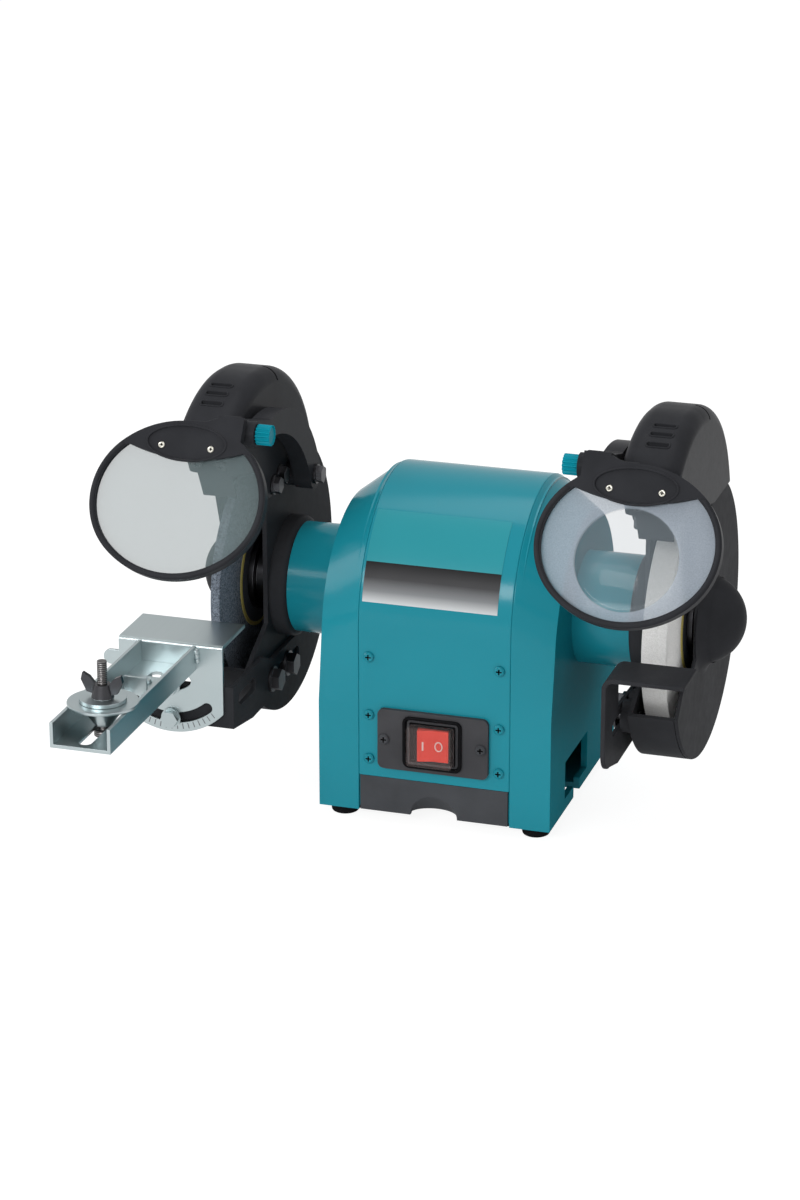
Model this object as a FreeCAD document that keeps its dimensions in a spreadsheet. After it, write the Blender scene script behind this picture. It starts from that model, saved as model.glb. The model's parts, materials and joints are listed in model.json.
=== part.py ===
import FreeCAD, Part
import operator
import os
from collections import namedtuple

import Sketcher
from FreeCAD import Placement, Rotation, Vector

# Bench grinder with two 150 mm wheels, in millimetres.
# X runs along the spindle (positive to the right), Y to the rear and Z up.
# The origin is on the bench top, midway along the spindle and straight below it.

DIMENSIONS = {
    # motor housing
    "housing_width": 153.6, "housing_depth": 166, "foot_height": 8, "spindle_height": 132,
    "wrap_width": 100, "sheet": 2, "casting_wall": 4, "lip_width": 12,
    "end_arch_radius": 76.5, "end_arch_height": 117.5, "end_arch_spring": 11.4, "shoulder_height": 80,
    "boss_radius": 36.5, "boss_length": 37.2, "boss_bore": 28,
    "window_front": -46, "window_rear": 10, "window_bottom": 15.7, "window_top": 41.5,
    "bolt_slot_place": -16.2, "bolt_slot_width": 15, "bolt_slot_depth": 15,
    "foot_radius": 9, "foot_across": 64, "foot_along": 68, "foot_recess_radius": 4.8, "foot_recess": 4.5,
    "screw_across": 43, "screw_low": 44.5, "screw_mid": 74.5, "screw_high": 113.8,
    "base_screw_across": 44, "base_screw_along": 60,
    "gland_across": 24, "gland_height": 32, "gland_radius": 7, "gland_bore": 4, "gland_flange": 9.5,
    "gland_length": 16, "gland_lip": 3,
    # coolant tray
    "tray_width": 98, "tray_bottom": 8.5, "tray_top": 32.2, "tray_length": 101, "tray_wall": 2,
    "tray_box_height": 18.5, "tray_notch_width": 31, "tray_notch_top": 16.5, "tray_gap": 0.3,
    # switch
    "switch_height": 60.2, "plate_width": 73, "plate_height": 40.5, "plate_thick": 3, "plate_corner": 4,
    "plate_screw_across": 32, "switch_width": 30, "switch_tall": 26.5, "switch_proud": 2, "switch_depth": 30,
    "rocker_width": 20, "rocker_tall": 21, "rocker_gap": 1.5, "rocker_pin": 1.5, "rocker_pivot_depth": 8,
    "rocker_proud": 2.5,
    "rocker_tilt": 8, "boot_proud": 6.5, "boot_wall": 1,
    # motor
    "stator_radius": 58, "stator_bore": 32, "stator_length": 55, "spigot_wall": 4, "spigot_depth": 5.5,
    "winding_outer": 52, "winding_inner": 36, "winding_reach": 14, "air_gap": 0.4, "fit": 0.05,
    "fan_radius": 46, "fan_place": 46, "fan_width": 10, "fan_disc": 2, "fan_hub": 14, "fan_blade": 2,
    "capacitor_radius": 16, "capacitor_length": 62, "capacitor_along": 52, "clamp_wall": 2, "clamp_width": 20,
    # spindle and wheels
    "bearing_outer": 17.5, "bearing_inner": 7.5, "bearing_width": 11, "bearing_place": 60,
    "bearing_shell": 4.5,
    "running_fit": 0.03, "rotor_seat": 10, "rotor_seat_end": 31, "shoulder_radius": 8.5,
    "arbor_radius": 6.35, "arbor_start": 124, "arbor_end": 168,
    "wheel_radius": 75, "left_wheel_width": 6.4, "left_wheel_start": 146, "right_wheel_width": 16,
    "right_wheel_start": 131.4, "blotter_radius": 36, "blotter": 0.8,
    "flange_radius": 24.5, "flange_rim": 4, "spacer_radius": 19, "spacer_width": 9, "flange_hub": 11,
    "nut_flats": 19, "nut_thick": 8,
    # wheel guards
    "guard_radius": 90, "guard_inner": 125, "guard_plate": 3, "guard_band": 2.5, "guard_outer": 157,
    "guard_cover": 2.5, "hub_radius": 40, "hub_bore": 26, "guard_screw_circle": 32.25,
    "lip_drop": 39, "mouth_corner_out": 67, "mouth_corner_drop": 25, "mouth_top_out": 42,
    "mouth_step_out": 60,
    "mouth_step_drop": 28, "mouth_root_drop": 20,
    "band_end_out": 44, "cover_edge_out": 32, "cover_step_out": 44, "cover_top_out": 52,
    "cover_edge_drop": 16, "cover_edge_rise": 18,
    "dome_radius": 29, "dome_wall": 2.5, "dome_centre": 152.5,
    # dust caps and spark arresters
    "cap_wall": 2.5, "cap_gap": 0.3, "cap_round": 10, "cap_inner_round": 4.5, "cap_rear": 49,
    "cap_rise": 80, "cap_crown_out": 40,
    "cap_crown": 283, "cap_sweep": 97, "cap_brow_out": 106, "cap_brow_drop": 17, "cap_nose_out": 110,
    "cap_nose_drop": 12, "cap_nose_round": 14, "cap_mouth_out": 97, "cap_mouth_drop": 24, "cap_side_out": 4,
    "cap_ear_out": 45, "cap_ear_in": 16, "cap_ear_drop": 13, "cap_ear_lap": 6, "cap_ear_flare": 20,
    "vent_across": 142.6, "vent_width": 13, "vent_height": 2.6, "vent_first_out": 73, "vent_pitch_out": 9.2,
    "vent_count": 3,
    "cap_bolt_out": 24, "cap_bolt_drop": 3, "cap_bolt_step_out": 12, "cap_bolt_step_down": 3.4,
    "arrester_thick": 2, "arrester_length": 46.5, "arrester_lift": 24.5, "arrester_slope": 28.9,
    "arrester_side": 2.2,
    "arrester_slot_across": 8, "arrester_travel": 10, "arrester_slot_spare": 1.4, "arrester_screw_rise": 8,
    # eye shields
    "arm_inner": 107, "arm_thick": 12, "hinge_out": 121, "hinge_height": 267, "hinge_boss_radius": 8,
    "hinge_boss_reach": 5, "arm_foot_along": 4, "arm_foot_drop": 10, "arm_foot_radius": 10,
    "arm_foot_boss": 9,
    "arm_outer_sweep": 92, "arm_inner_sweep": 85, "arm_bend_out": 84, "arm_bend_outer": 264.5,
    "arm_bend_inner": 252,
    "knob_radius": 6.5, "knob_length": 9.5, "hinge_pin": 3, "pin_gap": 0.1,
    "shield_across": 141.4, "shield_tilt": 32, "shield_drop": 49, "shield_front": 14.5, "shield_thick": 6,
    "shield_half_width": 56.5, "shield_half_height": 50, "shield_rim": 4,
    "brow_sag": 6.5, "lens_thick": 2.6, "lens_lap": 1.5, "lens_gap": 0.2, "lens_tab_half": 26,
    "lens_tab_top": 42.5,
    "brow_recess_half": 25, "brow_recess_tall": 10.6, "brow_recess_rise": 36, "brow_recess_depth": 0.8,
    "lens_screw_across": 16, "lens_screw_rise": 33.5, "ear_inner": 107, "ear_outer": 139, "ear_top": 6,
    "ear_flat": 5,
    "ear_sweep": 60, "ear_sink": 0.4,
    "lug_thick": 4.5, "lug_gap": 0.3, "lug_radius": 8,
    "magnifier_radius": 31, "magnifier_drop": 8, "magnifier_bulge": 6,
    # right tool rest
    "rest_top": 128, "rest_front": -111, "rest_rear": -77.5, "rest_start": 123, "rest_end": 167.5,
    "rest_plate": 3,
    "rest_flange": 115.5, "rest_foot": 58, "rest_foot_round": 14, "rest_tail": -12, "rest_hub_gap": 0.3,
    "rest_slot_height": 86, "rest_slot_radius": 4.5, "rest_slot_front": -87.5, "rest_travel": 20,
    "rest_bolt_front": -64, "rest_bolt_rear": -46, "rest_pad_radius": 10.5,
    # left drill rest
    "bracket_plate": 3, "bracket_front": -114.5, "bracket_rear": 14, "bracket_low": 62, "bracket_top": 96,
    "bracket_tail_top": 88, "bracket_neck_front": -60, "bracket_neck_rear": -42, "bracket_left": -196,
    "bracket_bolt_front": -44, "bracket_bolt_rear": -14, "bracket_bolt_height": 75,
    "bracket_slot_radius": 4.5,
    "table_left": -198, "table_right": -128, "table_top": 124, "table_rear": -77.2, "table_plate": 2.5,
    "pivot_across": -163, "pivot_height": 110, "apron_radius": 47.4, "apron_corner": 78,
    "upper_slot_radius": 15.5, "lower_slot_radius": 37.5, "arc_slot_half": 3.4, "arc_slot_angle": 40,
    "tab_reach": 5.5, "tab_height": 109, "tab_radius": 5,
    "channel_across": -165, "channel_width": 39, "channel_low": 107, "channel_top": 123, "channel_plate": 2.2,
    "channel_front": -267, "channel_slot_half": 4, "channel_slot_front": -258, "channel_slot_rear": -140,
    "clamp_along": -229, "clamp_stud": 3, "clamp_stud_top": 151, "dish_radius": 22, "dish_plate": 1.8,
    "cone_radius": 15, "cone_foot_radius": 5, "washer_radius": 14.5, "washer_plate": 2.4, "slide_gap": 0.2,
    "wing_hub": 7, "wing_hub_tall": 8.5, "wing_span": 13.5, "wing_rise": 15, "wing_plate": 3,
    "stop_along": -176, "stop_width": 15, "stop_length": 26, "stop_height": 11, "stop_plate": 1.8,
    # fasteners: shank radius, head radius or flats, head height
    "small_shank": 1.7, "small_head": 3.4, "small_head_tall": 2, "small_length": 6,
    "foot_shank": 2, "foot_head": 4, "foot_head_tall": 2.5, "foot_screw_length": 8.5,
    "lens_shank": 1.4, "lens_head": 2.8, "lens_head_tall": 1.2, "lens_screw_length": 5.5,
    "mid_shank": 3, "mid_flats": 10, "mid_head_tall": 4, "mid_washer": 6.5,
    "large_shank": 4, "large_flats": 13, "large_head_tall": 5.3, "large_washer": 8.5, "washer_thick": 1.5,
    "bolt_gap": 0.1, "nut_reach": 1.5,
}

FUNCTIONS = {"+": operator.add, "-": operator.sub, "*": operator.mul, "/": operator.truediv}

doc = FreeCAD.newDocument("bench_grinder")
sheet = doc.addObject("Spreadsheet::Sheet", "Sizes")
for row, (alias, number) in enumerate(DIMENSIONS.items(), start=1):
    sheet.set(f"A{row}", alias)
    sheet.set(f"B{row}", str(number))
    sheet.setAlias(f"B{row}", alias)
doc.recompute()


class Size:
    """A length that keeps its number together with the sheet expression that gives it."""

    def __init__(self, value, text):
        self.value = float(value)
        self.text = text

    def __add__(self, other):
        return combine("+", self, other)

    def __radd__(self, other):
        return combine("+", other, self)

    def __sub__(self, other):
        return combine("-", self, other)

    def __rsub__(self, other):
        return combine("-", other, self)

    def __mul__(self, other):
        return combine("*", self, other)

    def __rmul__(self, other):
        return combine("*", other, self)

    def __truediv__(self, other):
        return combine("/", self, other)

    def __neg__(self):
        return combine("*", -1, self)

    def root(self):
        return Size(self.value ** 0.5, f"sqrt({self.text})")

    def sine(self):
        return Size(math_rotation(self.value).x, f"sin({self.text} * 1 deg)")

    def cosine(self):
        return Size(math_rotation(self.value).y, f"cos({self.text} * 1 deg)")


def math_rotation(degrees):
    """The sine and cosine of an angle, as x and y."""
    return Rotation(Vector(0, 0, -1), degrees).multVec(Vector(0, 1, 0))


def as_size(number):
    return number if isinstance(number, Size) else Size(number, repr(float(number)))


def combine(sign, first, second):
    first, second = as_size(first), as_size(second)
    return Size(FUNCTIONS[sign](first.value, second.value), f"({first.text} {sign} {second.text})")


class Sizes:
    """Each driving dimension of the sheet, by its alias."""

    def __getattr__(self, alias):
        return Size(sheet.get(alias), f"Sizes.{alias}")


d = Sizes()
ZERO = as_size(0)
SIDES = {"left": -1, "right": 1}
ALONG_X = Vector(1, 0, 0)
ALONG_Y = Vector(0, 1, 0)
ALONG_Z = Vector(0, 0, 1)

# A corner of an outline. A bend makes the edge to the next corner an arc of that radius,
# counter-clockwise where it is positive and clockwise where it is negative.
Corner = namedtuple("Corner", "across up bend", defaults=(None,))
Ring = namedtuple("Ring", "across up radius")
PLANES = {"X": ("YZ_Plane", 1), "Y": ("XZ_Plane", -1), "Z": ("XY_Plane", 1)}


def new_body(label):
    body = doc.addObject("PartDesign::Body", label)
    body.Label = label
    return body


def arc_between(start, end, radius):
    """A counter-clockwise arc from one point to the next, shorter than a half circle."""
    chord = end - start
    left = Vector(-chord.y, chord.x, 0).normalize()
    rise = max(radius * radius - chord.Length ** 2 / 4, 0) ** 0.5
    top = (start + end) * 0.5 + left * (rise - radius)
    return Part.Arc(start, top, end)


def sketch(body, axis, place, loops, shift=(ZERO, ZERO)):
    """A sketch square to an axis, at a place along it, with lines, arcs and rings bound to the sheet."""
    role, sense = PLANES[axis]
    plane = next(item for item in body.Origin.OriginFeatures if item.Role == role)
    drawing = body.newObject("Sketcher::SketchObject", body.Name + "_outline")
    drawing.AttachmentSupport = (plane, [""])
    drawing.MapMode = "FlatFace"
    drawing.setExpression("AttachmentOffset.Base.x", shift[0].text)
    drawing.setExpression("AttachmentOffset.Base.y", shift[1].text)
    drawing.setExpression("AttachmentOffset.Base.z", (sense * as_size(place)).text)

    def hold(kind, size, *where):
        index = drawing.addConstraint(Sketcher.Constraint(kind, *where, size.value))
        drawing.setExpression(f"Constraints[{index}]", size.text)

    def hold_point(edge, vertex, across, up):
        hold("DistanceX", across, -1, 1, edge, vertex)
        hold("DistanceY", up, -1, 1, edge, vertex)

    for loop in loops:
        if isinstance(loop, Ring):
            centre = Vector(loop.across.value, loop.up.value, 0)
            circle = drawing.addGeometry(Part.Circle(centre, Vector(0, 0, 1), loop.radius.value))
            hold_point(circle, 3, loop.across, loop.up)
            hold("Radius", loop.radius, circle)
            continue
        corners = [Corner(*(as_size(item) if item is not None else None for item in corner))
            for corner in loop]
        points = [Vector(corner.across.value, corner.up.value, 0) for corner in corners]
        ends = []
        for index, corner in enumerate(corners):
            start, end = points[index], points[(index + 1) % len(points)]
            if corner.bend is None:
                edge = drawing.addGeometry(Part.LineSegment(start, end))
                ends.append((edge, 1, 2))
                continue
            if corner.bend.value > 0:
                edge = drawing.addGeometry(arc_between(start, end, corner.bend.value))
                ends.append((edge, 1, 2))
            else:
                edge = drawing.addGeometry(arc_between(end, start, -corner.bend.value))
                ends.append((edge, 2, 1))
        for index, (edge, first, last) in enumerate(ends):
            following = ends[(index + 1) % len(ends)]
            hold_point(edge, first, corners[index].across, corners[index].up)
            drawing.addConstraint(Sketcher.Constraint("Coincident", edge, last, following[0], following[1]))
            if corners[index].bend is not None:
                bend = corners[index].bend
                hold("Radius", bend if bend.value > 0 else -bend, edge)
    return drawing


def finish_feature(feature, drawing, start, end, backwards):
    feature.Profile = drawing
    feature.Reversed = backwards
    feature.setExpression("Length", (end - start if end.value > start.value else start - end).text)


def slab(body, axis, start, end, *loops):
    """Material between two places along an axis, with the outline of the loops."""
    start, end = as_size(start), as_size(end)
    drawing = sketch(body, axis, start, loops)
    feature = body.newObject("PartDesign::Pad", body.Name + "_pad")
    ahead = (end.value > start.value) == (PLANES[axis][1] > 0)
    finish_feature(feature, drawing, start, end, not ahead)
    return feature


def cut(body, axis, start, end, *loops):
    """An opening between two places along an axis, with the outline of the loops."""
    start, end = as_size(start), as_size(end)
    doc.recompute()
    before = body.Shape.Volume
    drawing = sketch(body, axis, start, loops)
    feature = body.newObject("PartDesign::Pocket", body.Name + "_cut")
    ahead = (end.value > start.value) == (PLANES[axis][1] > 0)
    finish_feature(feature, drawing, start, end, ahead)
    doc.recompute()
    if not body.Shape.Volume < before:
        raise RuntimeError(f"{feature.Name} removes nothing")
    return feature


def turned(body, axis, centre, loop, kind="PartDesign::Revolution"):
    """A round form about a line along X or Z: (place, radius) about X, (radius, place) about Z."""
    first, second = as_size(centre[0]), as_size(centre[1])
    if axis == "X":
        drawing = sketch(body, "Y", first, [loop], (ZERO, second))
        line = "H_Axis"
    else:
        drawing = sketch(body, "Y", second, [loop], (first, ZERO))
        line = "V_Axis"
    feature = body.newObject(kind, body.Name + "_turned")
    feature.Profile = drawing
    feature.ReferenceAxis = (drawing, [line])
    feature.Angle = 360
    return feature


def box_loop(left, right, low, high):
    return [Corner(left, low), Corner(right, low), Corner(right, high), Corner(left, high)]


def round_box_loop(left, right, low, high, corner):
    """A rectangle with round corners."""
    return [
        Corner(left + corner, low), Corner(right - corner, low, corner), Corner(right, low + corner),
        Corner(right, high - corner, corner), Corner(right - corner, high),
        Corner(left + corner, high, corner),
        Corner(left, high - corner), Corner(left, low + corner, corner),
    ]


def slot_loop(first, last, up, radius):
    """A slot with round ends, between the centres of its ends."""
    return [
        Corner(first, up - radius), Corner(last, up - radius, radius), Corner(last + radius, up, radius),
        Corner(last, up + radius), Corner(first, up + radius, radius), Corner(first - radius, up, radius),
    ]


def arc_slot_loop(across, up, radius, half, angle):
    """A slot bent about a centre above it, to the same angle each way from straight down."""
    sine, cosine = angle.sine(), angle.cosine()
    outer, inner = radius + half, radius - half

    def at(reach, sign):
        return across + sign * reach * sine, up - reach * cosine

    tip_across, tip_up = half * cosine, half * sine
    right, left = at(radius, 1), at(radius, -1)
    return [
        Corner(*at(outer, -1), outer), Corner(*at(outer, 1), half),
        Corner(right[0] + tip_across, right[1] + tip_up, half), Corner(*at(inner, 1), -inner),
        Corner(*at(inner, -1), half), Corner(left[0] - tip_across, left[1] + tip_up, half),
    ]


def oval_corners(across, up, half_width, half_height):
    """The four corners of an oval of four arcs, with the radii of its flank and crown arcs."""
    share = 0.5 ** 0.5
    side_rise, crown_rise = half_width * (1 - share), half_height * (1 - share)
    side, crown = half_width * share, half_height * share
    flank_radius = (crown * crown + side_rise * side_rise) / (2 * side_rise)
    crown_radius = (side * side + crown_rise * crown_rise) / (2 * crown_rise)
    places = [(across - side, up - crown), (across + side, up - crown),
              (across + side, up + crown), (across - side, up + crown)]
    return places, flank_radius, crown_radius


def oval_loop(across, up, half_width, half_height):
    places, flank, crown = oval_corners(across, up, half_width, half_height)
    return [Corner(*places[0], crown), Corner(*places[1], flank), Corner(*places[2], crown),
        Corner(*places[3], flank)]


def hexagon_loop(across, up, flats):
    """A hexagon with two flats level."""
    half, reach = flats / 2, flats / (3 ** 0.5)
    return [
        Corner(across - reach / 2, up - half), Corner(across + reach / 2, up - half),
        Corner(across + reach, up),
        Corner(across + reach / 2, up + half), Corner(across - reach / 2, up + half),
        Corner(across - reach, up),
    ]


def hold_tilt(body, out, height, angle):
    """Stand a body on a line along X at a distance out and a height, turned about that line."""
    body.Placement = Placement(Vector(0, 0, 0), Rotation(Vector(1, 0, 0), angle.value))
    body.setExpression("Placement.Base.y", (-out).text)
    body.setExpression("Placement.Base.z", height.text)
    body.setExpression("Placement.Rotation.Angle", angle.text)


def group(label, *sets):
    """Copies of fasteners as separate solids. Each set: a master, its places, its axis and its turn."""
    links = []
    for master, places, axis, turn in sets:
        for place in places:
            link = doc.addObject("App::Link", label + "_copy")
            link.LinkedObject = master
            link.Placement = Placement(Vector(0, 0, 0), Rotation(axis, turn))
            for name, size in zip("xyz", place):
                link.setExpression(f"Placement.Base.{name}", as_size(size).text)
            links.append(link)
    compound = doc.addObject("Part::Compound", label)
    compound.Label = label
    compound.Links = links
    return compound


def screw_master(name, shank, head, head_tall, length):
    """A pan head screw along Z with its head above the origin and a cross recess."""
    body = new_body(name)
    crown = head_tall * 0.4
    turned(body, "Z", (0, 0), [
        Corner(ZERO, -length), Corner(shank, -length), Corner(shank, ZERO), Corner(head, ZERO),
        Corner(head, head_tall - crown), Corner(head - crown, head_tall), Corner(ZERO, head_tall)])
    arm, half = head * 0.55, head * 0.14
    cut(body, "Z", head_tall, head_tall * 0.45, box_loop(-arm, arm, -half, half))
    cut(body, "Z", head_tall, head_tall * 0.45, box_loop(-half, half, -arm, arm))
    return body


def bolt_master(name, shank, flats, head_tall, washer, length):
    """A hexagon bolt along Z: washer on the origin plane, head above it and shank below."""
    body = new_body(name)
    slab(body, "Z", 0, d.washer_thick, Ring(ZERO, ZERO, washer))
    slab(body, "Z", d.washer_thick, d.washer_thick + head_tall, hexagon_loop(ZERO, ZERO, flats))
    slab(body, "Z", 0, -length, Ring(ZERO, ZERO, shank))
    return body


# Derived places that several pieces share.
HALF_DEPTH = d.housing_depth / 2
HALF_WIDTH = d.housing_width / 2
HALF_WRAP = d.wrap_width / 2
BASE = d.foot_height
AXIS = d.spindle_height
BOSS_END = HALF_WIDTH + d.boss_length
SCREW_HEIGHTS = (d.screw_low, d.screw_mid, d.screw_high)
WHEELS = {"left": (d.left_wheel_start, d.left_wheel_start + d.left_wheel_width),
          "right": (d.right_wheel_start, d.right_wheel_start + d.right_wheel_width)}
COVER_INNER = d.guard_outer - d.guard_cover
PLATE_OUTER = d.guard_inner + d.guard_plate
PANEL_FRONT = -HALF_DEPTH
PLATE_FRONT = PANEL_FRONT - d.plate_thick
SWITCH_FRONT = PLATE_FRONT - d.switch_proud
CAP_LOW = AXIS + d.cap_rise
CAP_BROW = d.cap_crown - d.cap_brow_drop
CAP_NOSE = CAP_BROW - d.cap_nose_drop
CAP_MOUTH = CAP_NOSE - d.cap_mouth_drop
ARM_FOOT = CAP_LOW - d.arm_foot_drop
REST_REACH = d.hub_radius + d.rest_hub_gap
REST_TAIL_TOP = AXIS - (REST_REACH * REST_REACH - d.rest_tail * d.rest_tail).root()


def housing_loop(inset):
    """The middle section of the housing: upright sides and a half round top about the spindle."""
    half, low = HALF_DEPTH - inset, BASE + inset
    return [
        Corner(half, low), Corner(half, d.shoulder_height), Corner(half, AXIS, half),
        Corner(ZERO, AXIS + half, half),
        Corner(-half, AXIS), Corner(-half, d.shoulder_height), Corner(-half, low),
    ]


def end_loop(inset):
    """The end section of the housing: upright below the shoulder, then leaning in to a smaller arch."""
    half, low, radius = HALF_DEPTH - inset, BASE + inset, d.end_arch_radius - inset
    spring = (radius * radius - d.end_arch_spring * d.end_arch_spring).root()
    height = d.end_arch_height + d.end_arch_spring
    return [
        Corner(half, low), Corner(half, d.shoulder_height), Corner(spring, height, radius),
        Corner(ZERO, d.end_arch_height + radius, radius),
        Corner(-spring, height), Corner(-half, d.shoulder_height), Corner(-half, low),
    ]


def loft(body, kind, first, first_loop, second, second_loop):
    feature_first = sketch(body, "X", first, [first_loop])
    feature_second = sketch(body, "X", second, [second_loop])
    feature = body.newObject(kind, body.Name + "_loft")
    feature.Profile = feature_first
    feature.Sections = [feature_second]
    feature.Ruled = True
    return feature


def end_frame(name, side):
    """Cast end of the housing: hollow shell, lip under the wrap, spigot, bearing seat and guard boss."""
    body = new_body(f"{name}_end_frame")
    inner_wall = HALF_WIDTH - d.casting_wall
    lip_end = HALF_WRAP - d.lip_width
    loft(body, "PartDesign::AdditiveLoft", side * HALF_WRAP, housing_loop(ZERO), side * HALF_WIDTH,
        end_loop(ZERO))
    slab(body, "X", side * (HALF_WRAP + d.casting_wall), side * lip_end, housing_loop(d.sheet))
    loft(body, "PartDesign::SubtractiveLoft", side * HALF_WRAP, housing_loop(d.casting_wall),
         side * inner_wall, end_loop(d.casting_wall))
    cut(body, "X", side * HALF_WRAP, side * lip_end, housing_loop(d.sheet + d.casting_wall))
    stator_end = d.stator_length / 2
    spigot_start = stator_end - d.spigot_depth
    seat_start = d.bearing_place - d.sheet
    bearing_stop = d.bearing_place + d.bearing_width
    inner = d.stator_radius - d.spigot_wall
    slab(body, "X", side * (inner_wall + 1), side * spigot_start,
        Ring(ZERO, AXIS, d.stator_radius + d.spigot_wall))
    cut(body, "X", side * spigot_start, side * inner_wall, Ring(ZERO, AXIS, inner))
    cut(body, "X", side * spigot_start, side * (stator_end + d.fit),
        Ring(ZERO, AXIS, d.stator_radius + d.fit))
    slab(body, "X", side * (inner_wall + 1), side * seat_start,
        Ring(ZERO, AXIS, d.bearing_outer + d.bearing_shell))
    slab(body, "X", side * inner_wall, side * BOSS_END, Ring(ZERO, AXIS, d.boss_radius))
    cut(body, "X", side * seat_start, side * bearing_stop, Ring(ZERO, AXIS, d.bearing_outer))
    cut(body, "X", side * bearing_stop, side * BOSS_END, Ring(ZERO, AXIS, d.bearing_outer - d.casting_wall))
    cut(body, "X", side * (HALF_WIDTH + d.casting_wall), side * BOSS_END, Ring(ZERO, AXIS, d.boss_bore))
    cut(body, "X", side * (inner_wall - 1), side * (HALF_WIDTH + 1),
        box_loop(d.window_front, d.window_rear, d.window_bottom, d.window_top))
    slot_rear = d.bolt_slot_place + d.bolt_slot_width / 2
    slot_front = d.bolt_slot_place - d.bolt_slot_width / 2
    slot_root = side * (HALF_WIDTH - d.bolt_slot_depth)
    half = d.bolt_slot_width / 2
    bend = -side * half
    cut(body, "Z", BASE - 1, d.window_bottom + 1, [
        Corner(side * (HALF_WIDTH + 1), slot_front), Corner(side * (HALF_WIDTH + 1), slot_rear),
        Corner(slot_root + side * half, slot_rear, side * half), Corner(slot_root, d.bolt_slot_place, -bend),
        Corner(slot_root + side * half, slot_front)])
    holes = [Ring(side * d.foot_across, sign * d.foot_along, d.foot_shank + d.bolt_gap) for sign in (-1, 1)]
    cut(body, "Z", BASE - 1, BASE + d.casting_wall + 1, *holes)
    holes = [Ring(side * d.base_screw_across, sign * d.base_screw_along, d.small_shank + d.bolt_gap)
             for sign in (-1, 1)]
    cut(body, "Z", BASE, BASE + d.sheet + d.casting_wall + 1, *holes)
    rings = [Ring(side * d.screw_across, height, d.small_shank + d.bolt_gap) for height in SCREW_HEIGHTS]
    reach = d.sheet + d.casting_wall + 1
    cut(body, "Y", PANEL_FRONT, PANEL_FRONT + reach, *rings)
    cut(body, "Y", HALF_DEPTH, HALF_DEPTH - reach, *rings)
    guard_holes(body, side, BOSS_END, BOSS_END - d.small_length)


def guard_holes(body, side, start, end):
    """Four holes for the screws that hold a guard to its boss."""
    reach = d.guard_screw_circle * 0.5 ** 0.5
    rings = [Ring(across * reach, AXIS + up * reach, d.small_shank + d.bolt_gap)
             for across in (-1, 1) for up in (-1, 1)]
    cut(body, "X", side * start, side * end, *rings)


def wrap_cover():
    """Sheet steel wrap: front panel above the tray, half round top and rear panel, with its holes."""
    body = new_body("wrap_cover")
    outer, inner = HALF_DEPTH, HALF_DEPTH - d.sheet
    front_low = d.tray_top + d.tray_gap
    slab(body, "X", -HALF_WRAP, HALF_WRAP, [
        Corner(outer, BASE), Corner(outer, AXIS, outer), Corner(ZERO, AXIS + outer, outer),
        Corner(-outer, AXIS),
        Corner(-outer, front_low), Corner(-inner, front_low), Corner(-inner, AXIS, -inner),
        Corner(ZERO, AXIS + inner, -inner), Corner(inner, AXIS), Corner(inner, BASE)])
    rings = [Ring(sign * d.screw_across, height, d.small_shank + d.bolt_gap)
             for sign in (-1, 1) for height in SCREW_HEIGHTS]
    half, tall = d.switch_width / 2 + d.bolt_gap, d.switch_tall / 2 + d.bolt_gap
    window = box_loop(-half, half, d.switch_height - tall, d.switch_height + tall)
    plate_rings = [Ring(sign * d.plate_screw_across, d.switch_height, d.small_shank + d.bolt_gap)
        for sign in (-1, 1)]
    cut(body, "Y", PANEL_FRONT - 1, PANEL_FRONT + d.sheet + 1, *rings, *plate_rings, window)
    gland = Ring(d.gland_across, d.gland_height, d.gland_radius + d.fit)
    cut(body, "Y", HALF_DEPTH + 1, HALF_DEPTH - d.sheet - 1, *rings, gland)


def base_plate():
    """Flat plate that closes the housing from below and carries the tray and the capacitor."""
    body = new_body("base_plate")
    half = HALF_DEPTH - d.sheet
    slab(body, "Z", BASE, BASE + d.sheet, box_loop(-HALF_WRAP, HALF_WRAP, -half, half))
    rings = [Ring(across * d.base_screw_across, along * d.base_screw_along, d.small_shank + d.bolt_gap)
             for across in (-1, 1) for along in (-1, 1)]
    cut(body, "Z", BASE - 1, BASE + d.sheet + 1, *rings)


def rubber_feet():
    """Four round rubber feet, each with a recess for its screw."""
    master = new_body("foot_master")
    turned(master, "Z", (0, 0), [
        Corner(d.foot_shank + d.bolt_gap, d.foot_recess), Corner(d.foot_recess_radius, d.foot_recess),
        Corner(d.foot_recess_radius, ZERO), Corner(d.foot_radius - 1, ZERO),
        Corner(d.foot_radius, as_size(1)),
        Corner(d.foot_radius, BASE), Corner(d.foot_shank + d.bolt_gap, BASE)])
    places = [(across * d.foot_across, along * d.foot_along) for across in (-1, 1) for along in (-1, 1)]
    group("rubber_feet", (master, [(*place, ZERO) for place in places], ALONG_X, 0))
    screw = screw_master("foot_screw_master", d.foot_shank, d.foot_head, d.foot_head_tall,
        d.foot_screw_length)
    group("foot_screws", (screw, [(*place, d.foot_recess) for place in places], ALONG_X, 180))


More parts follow.
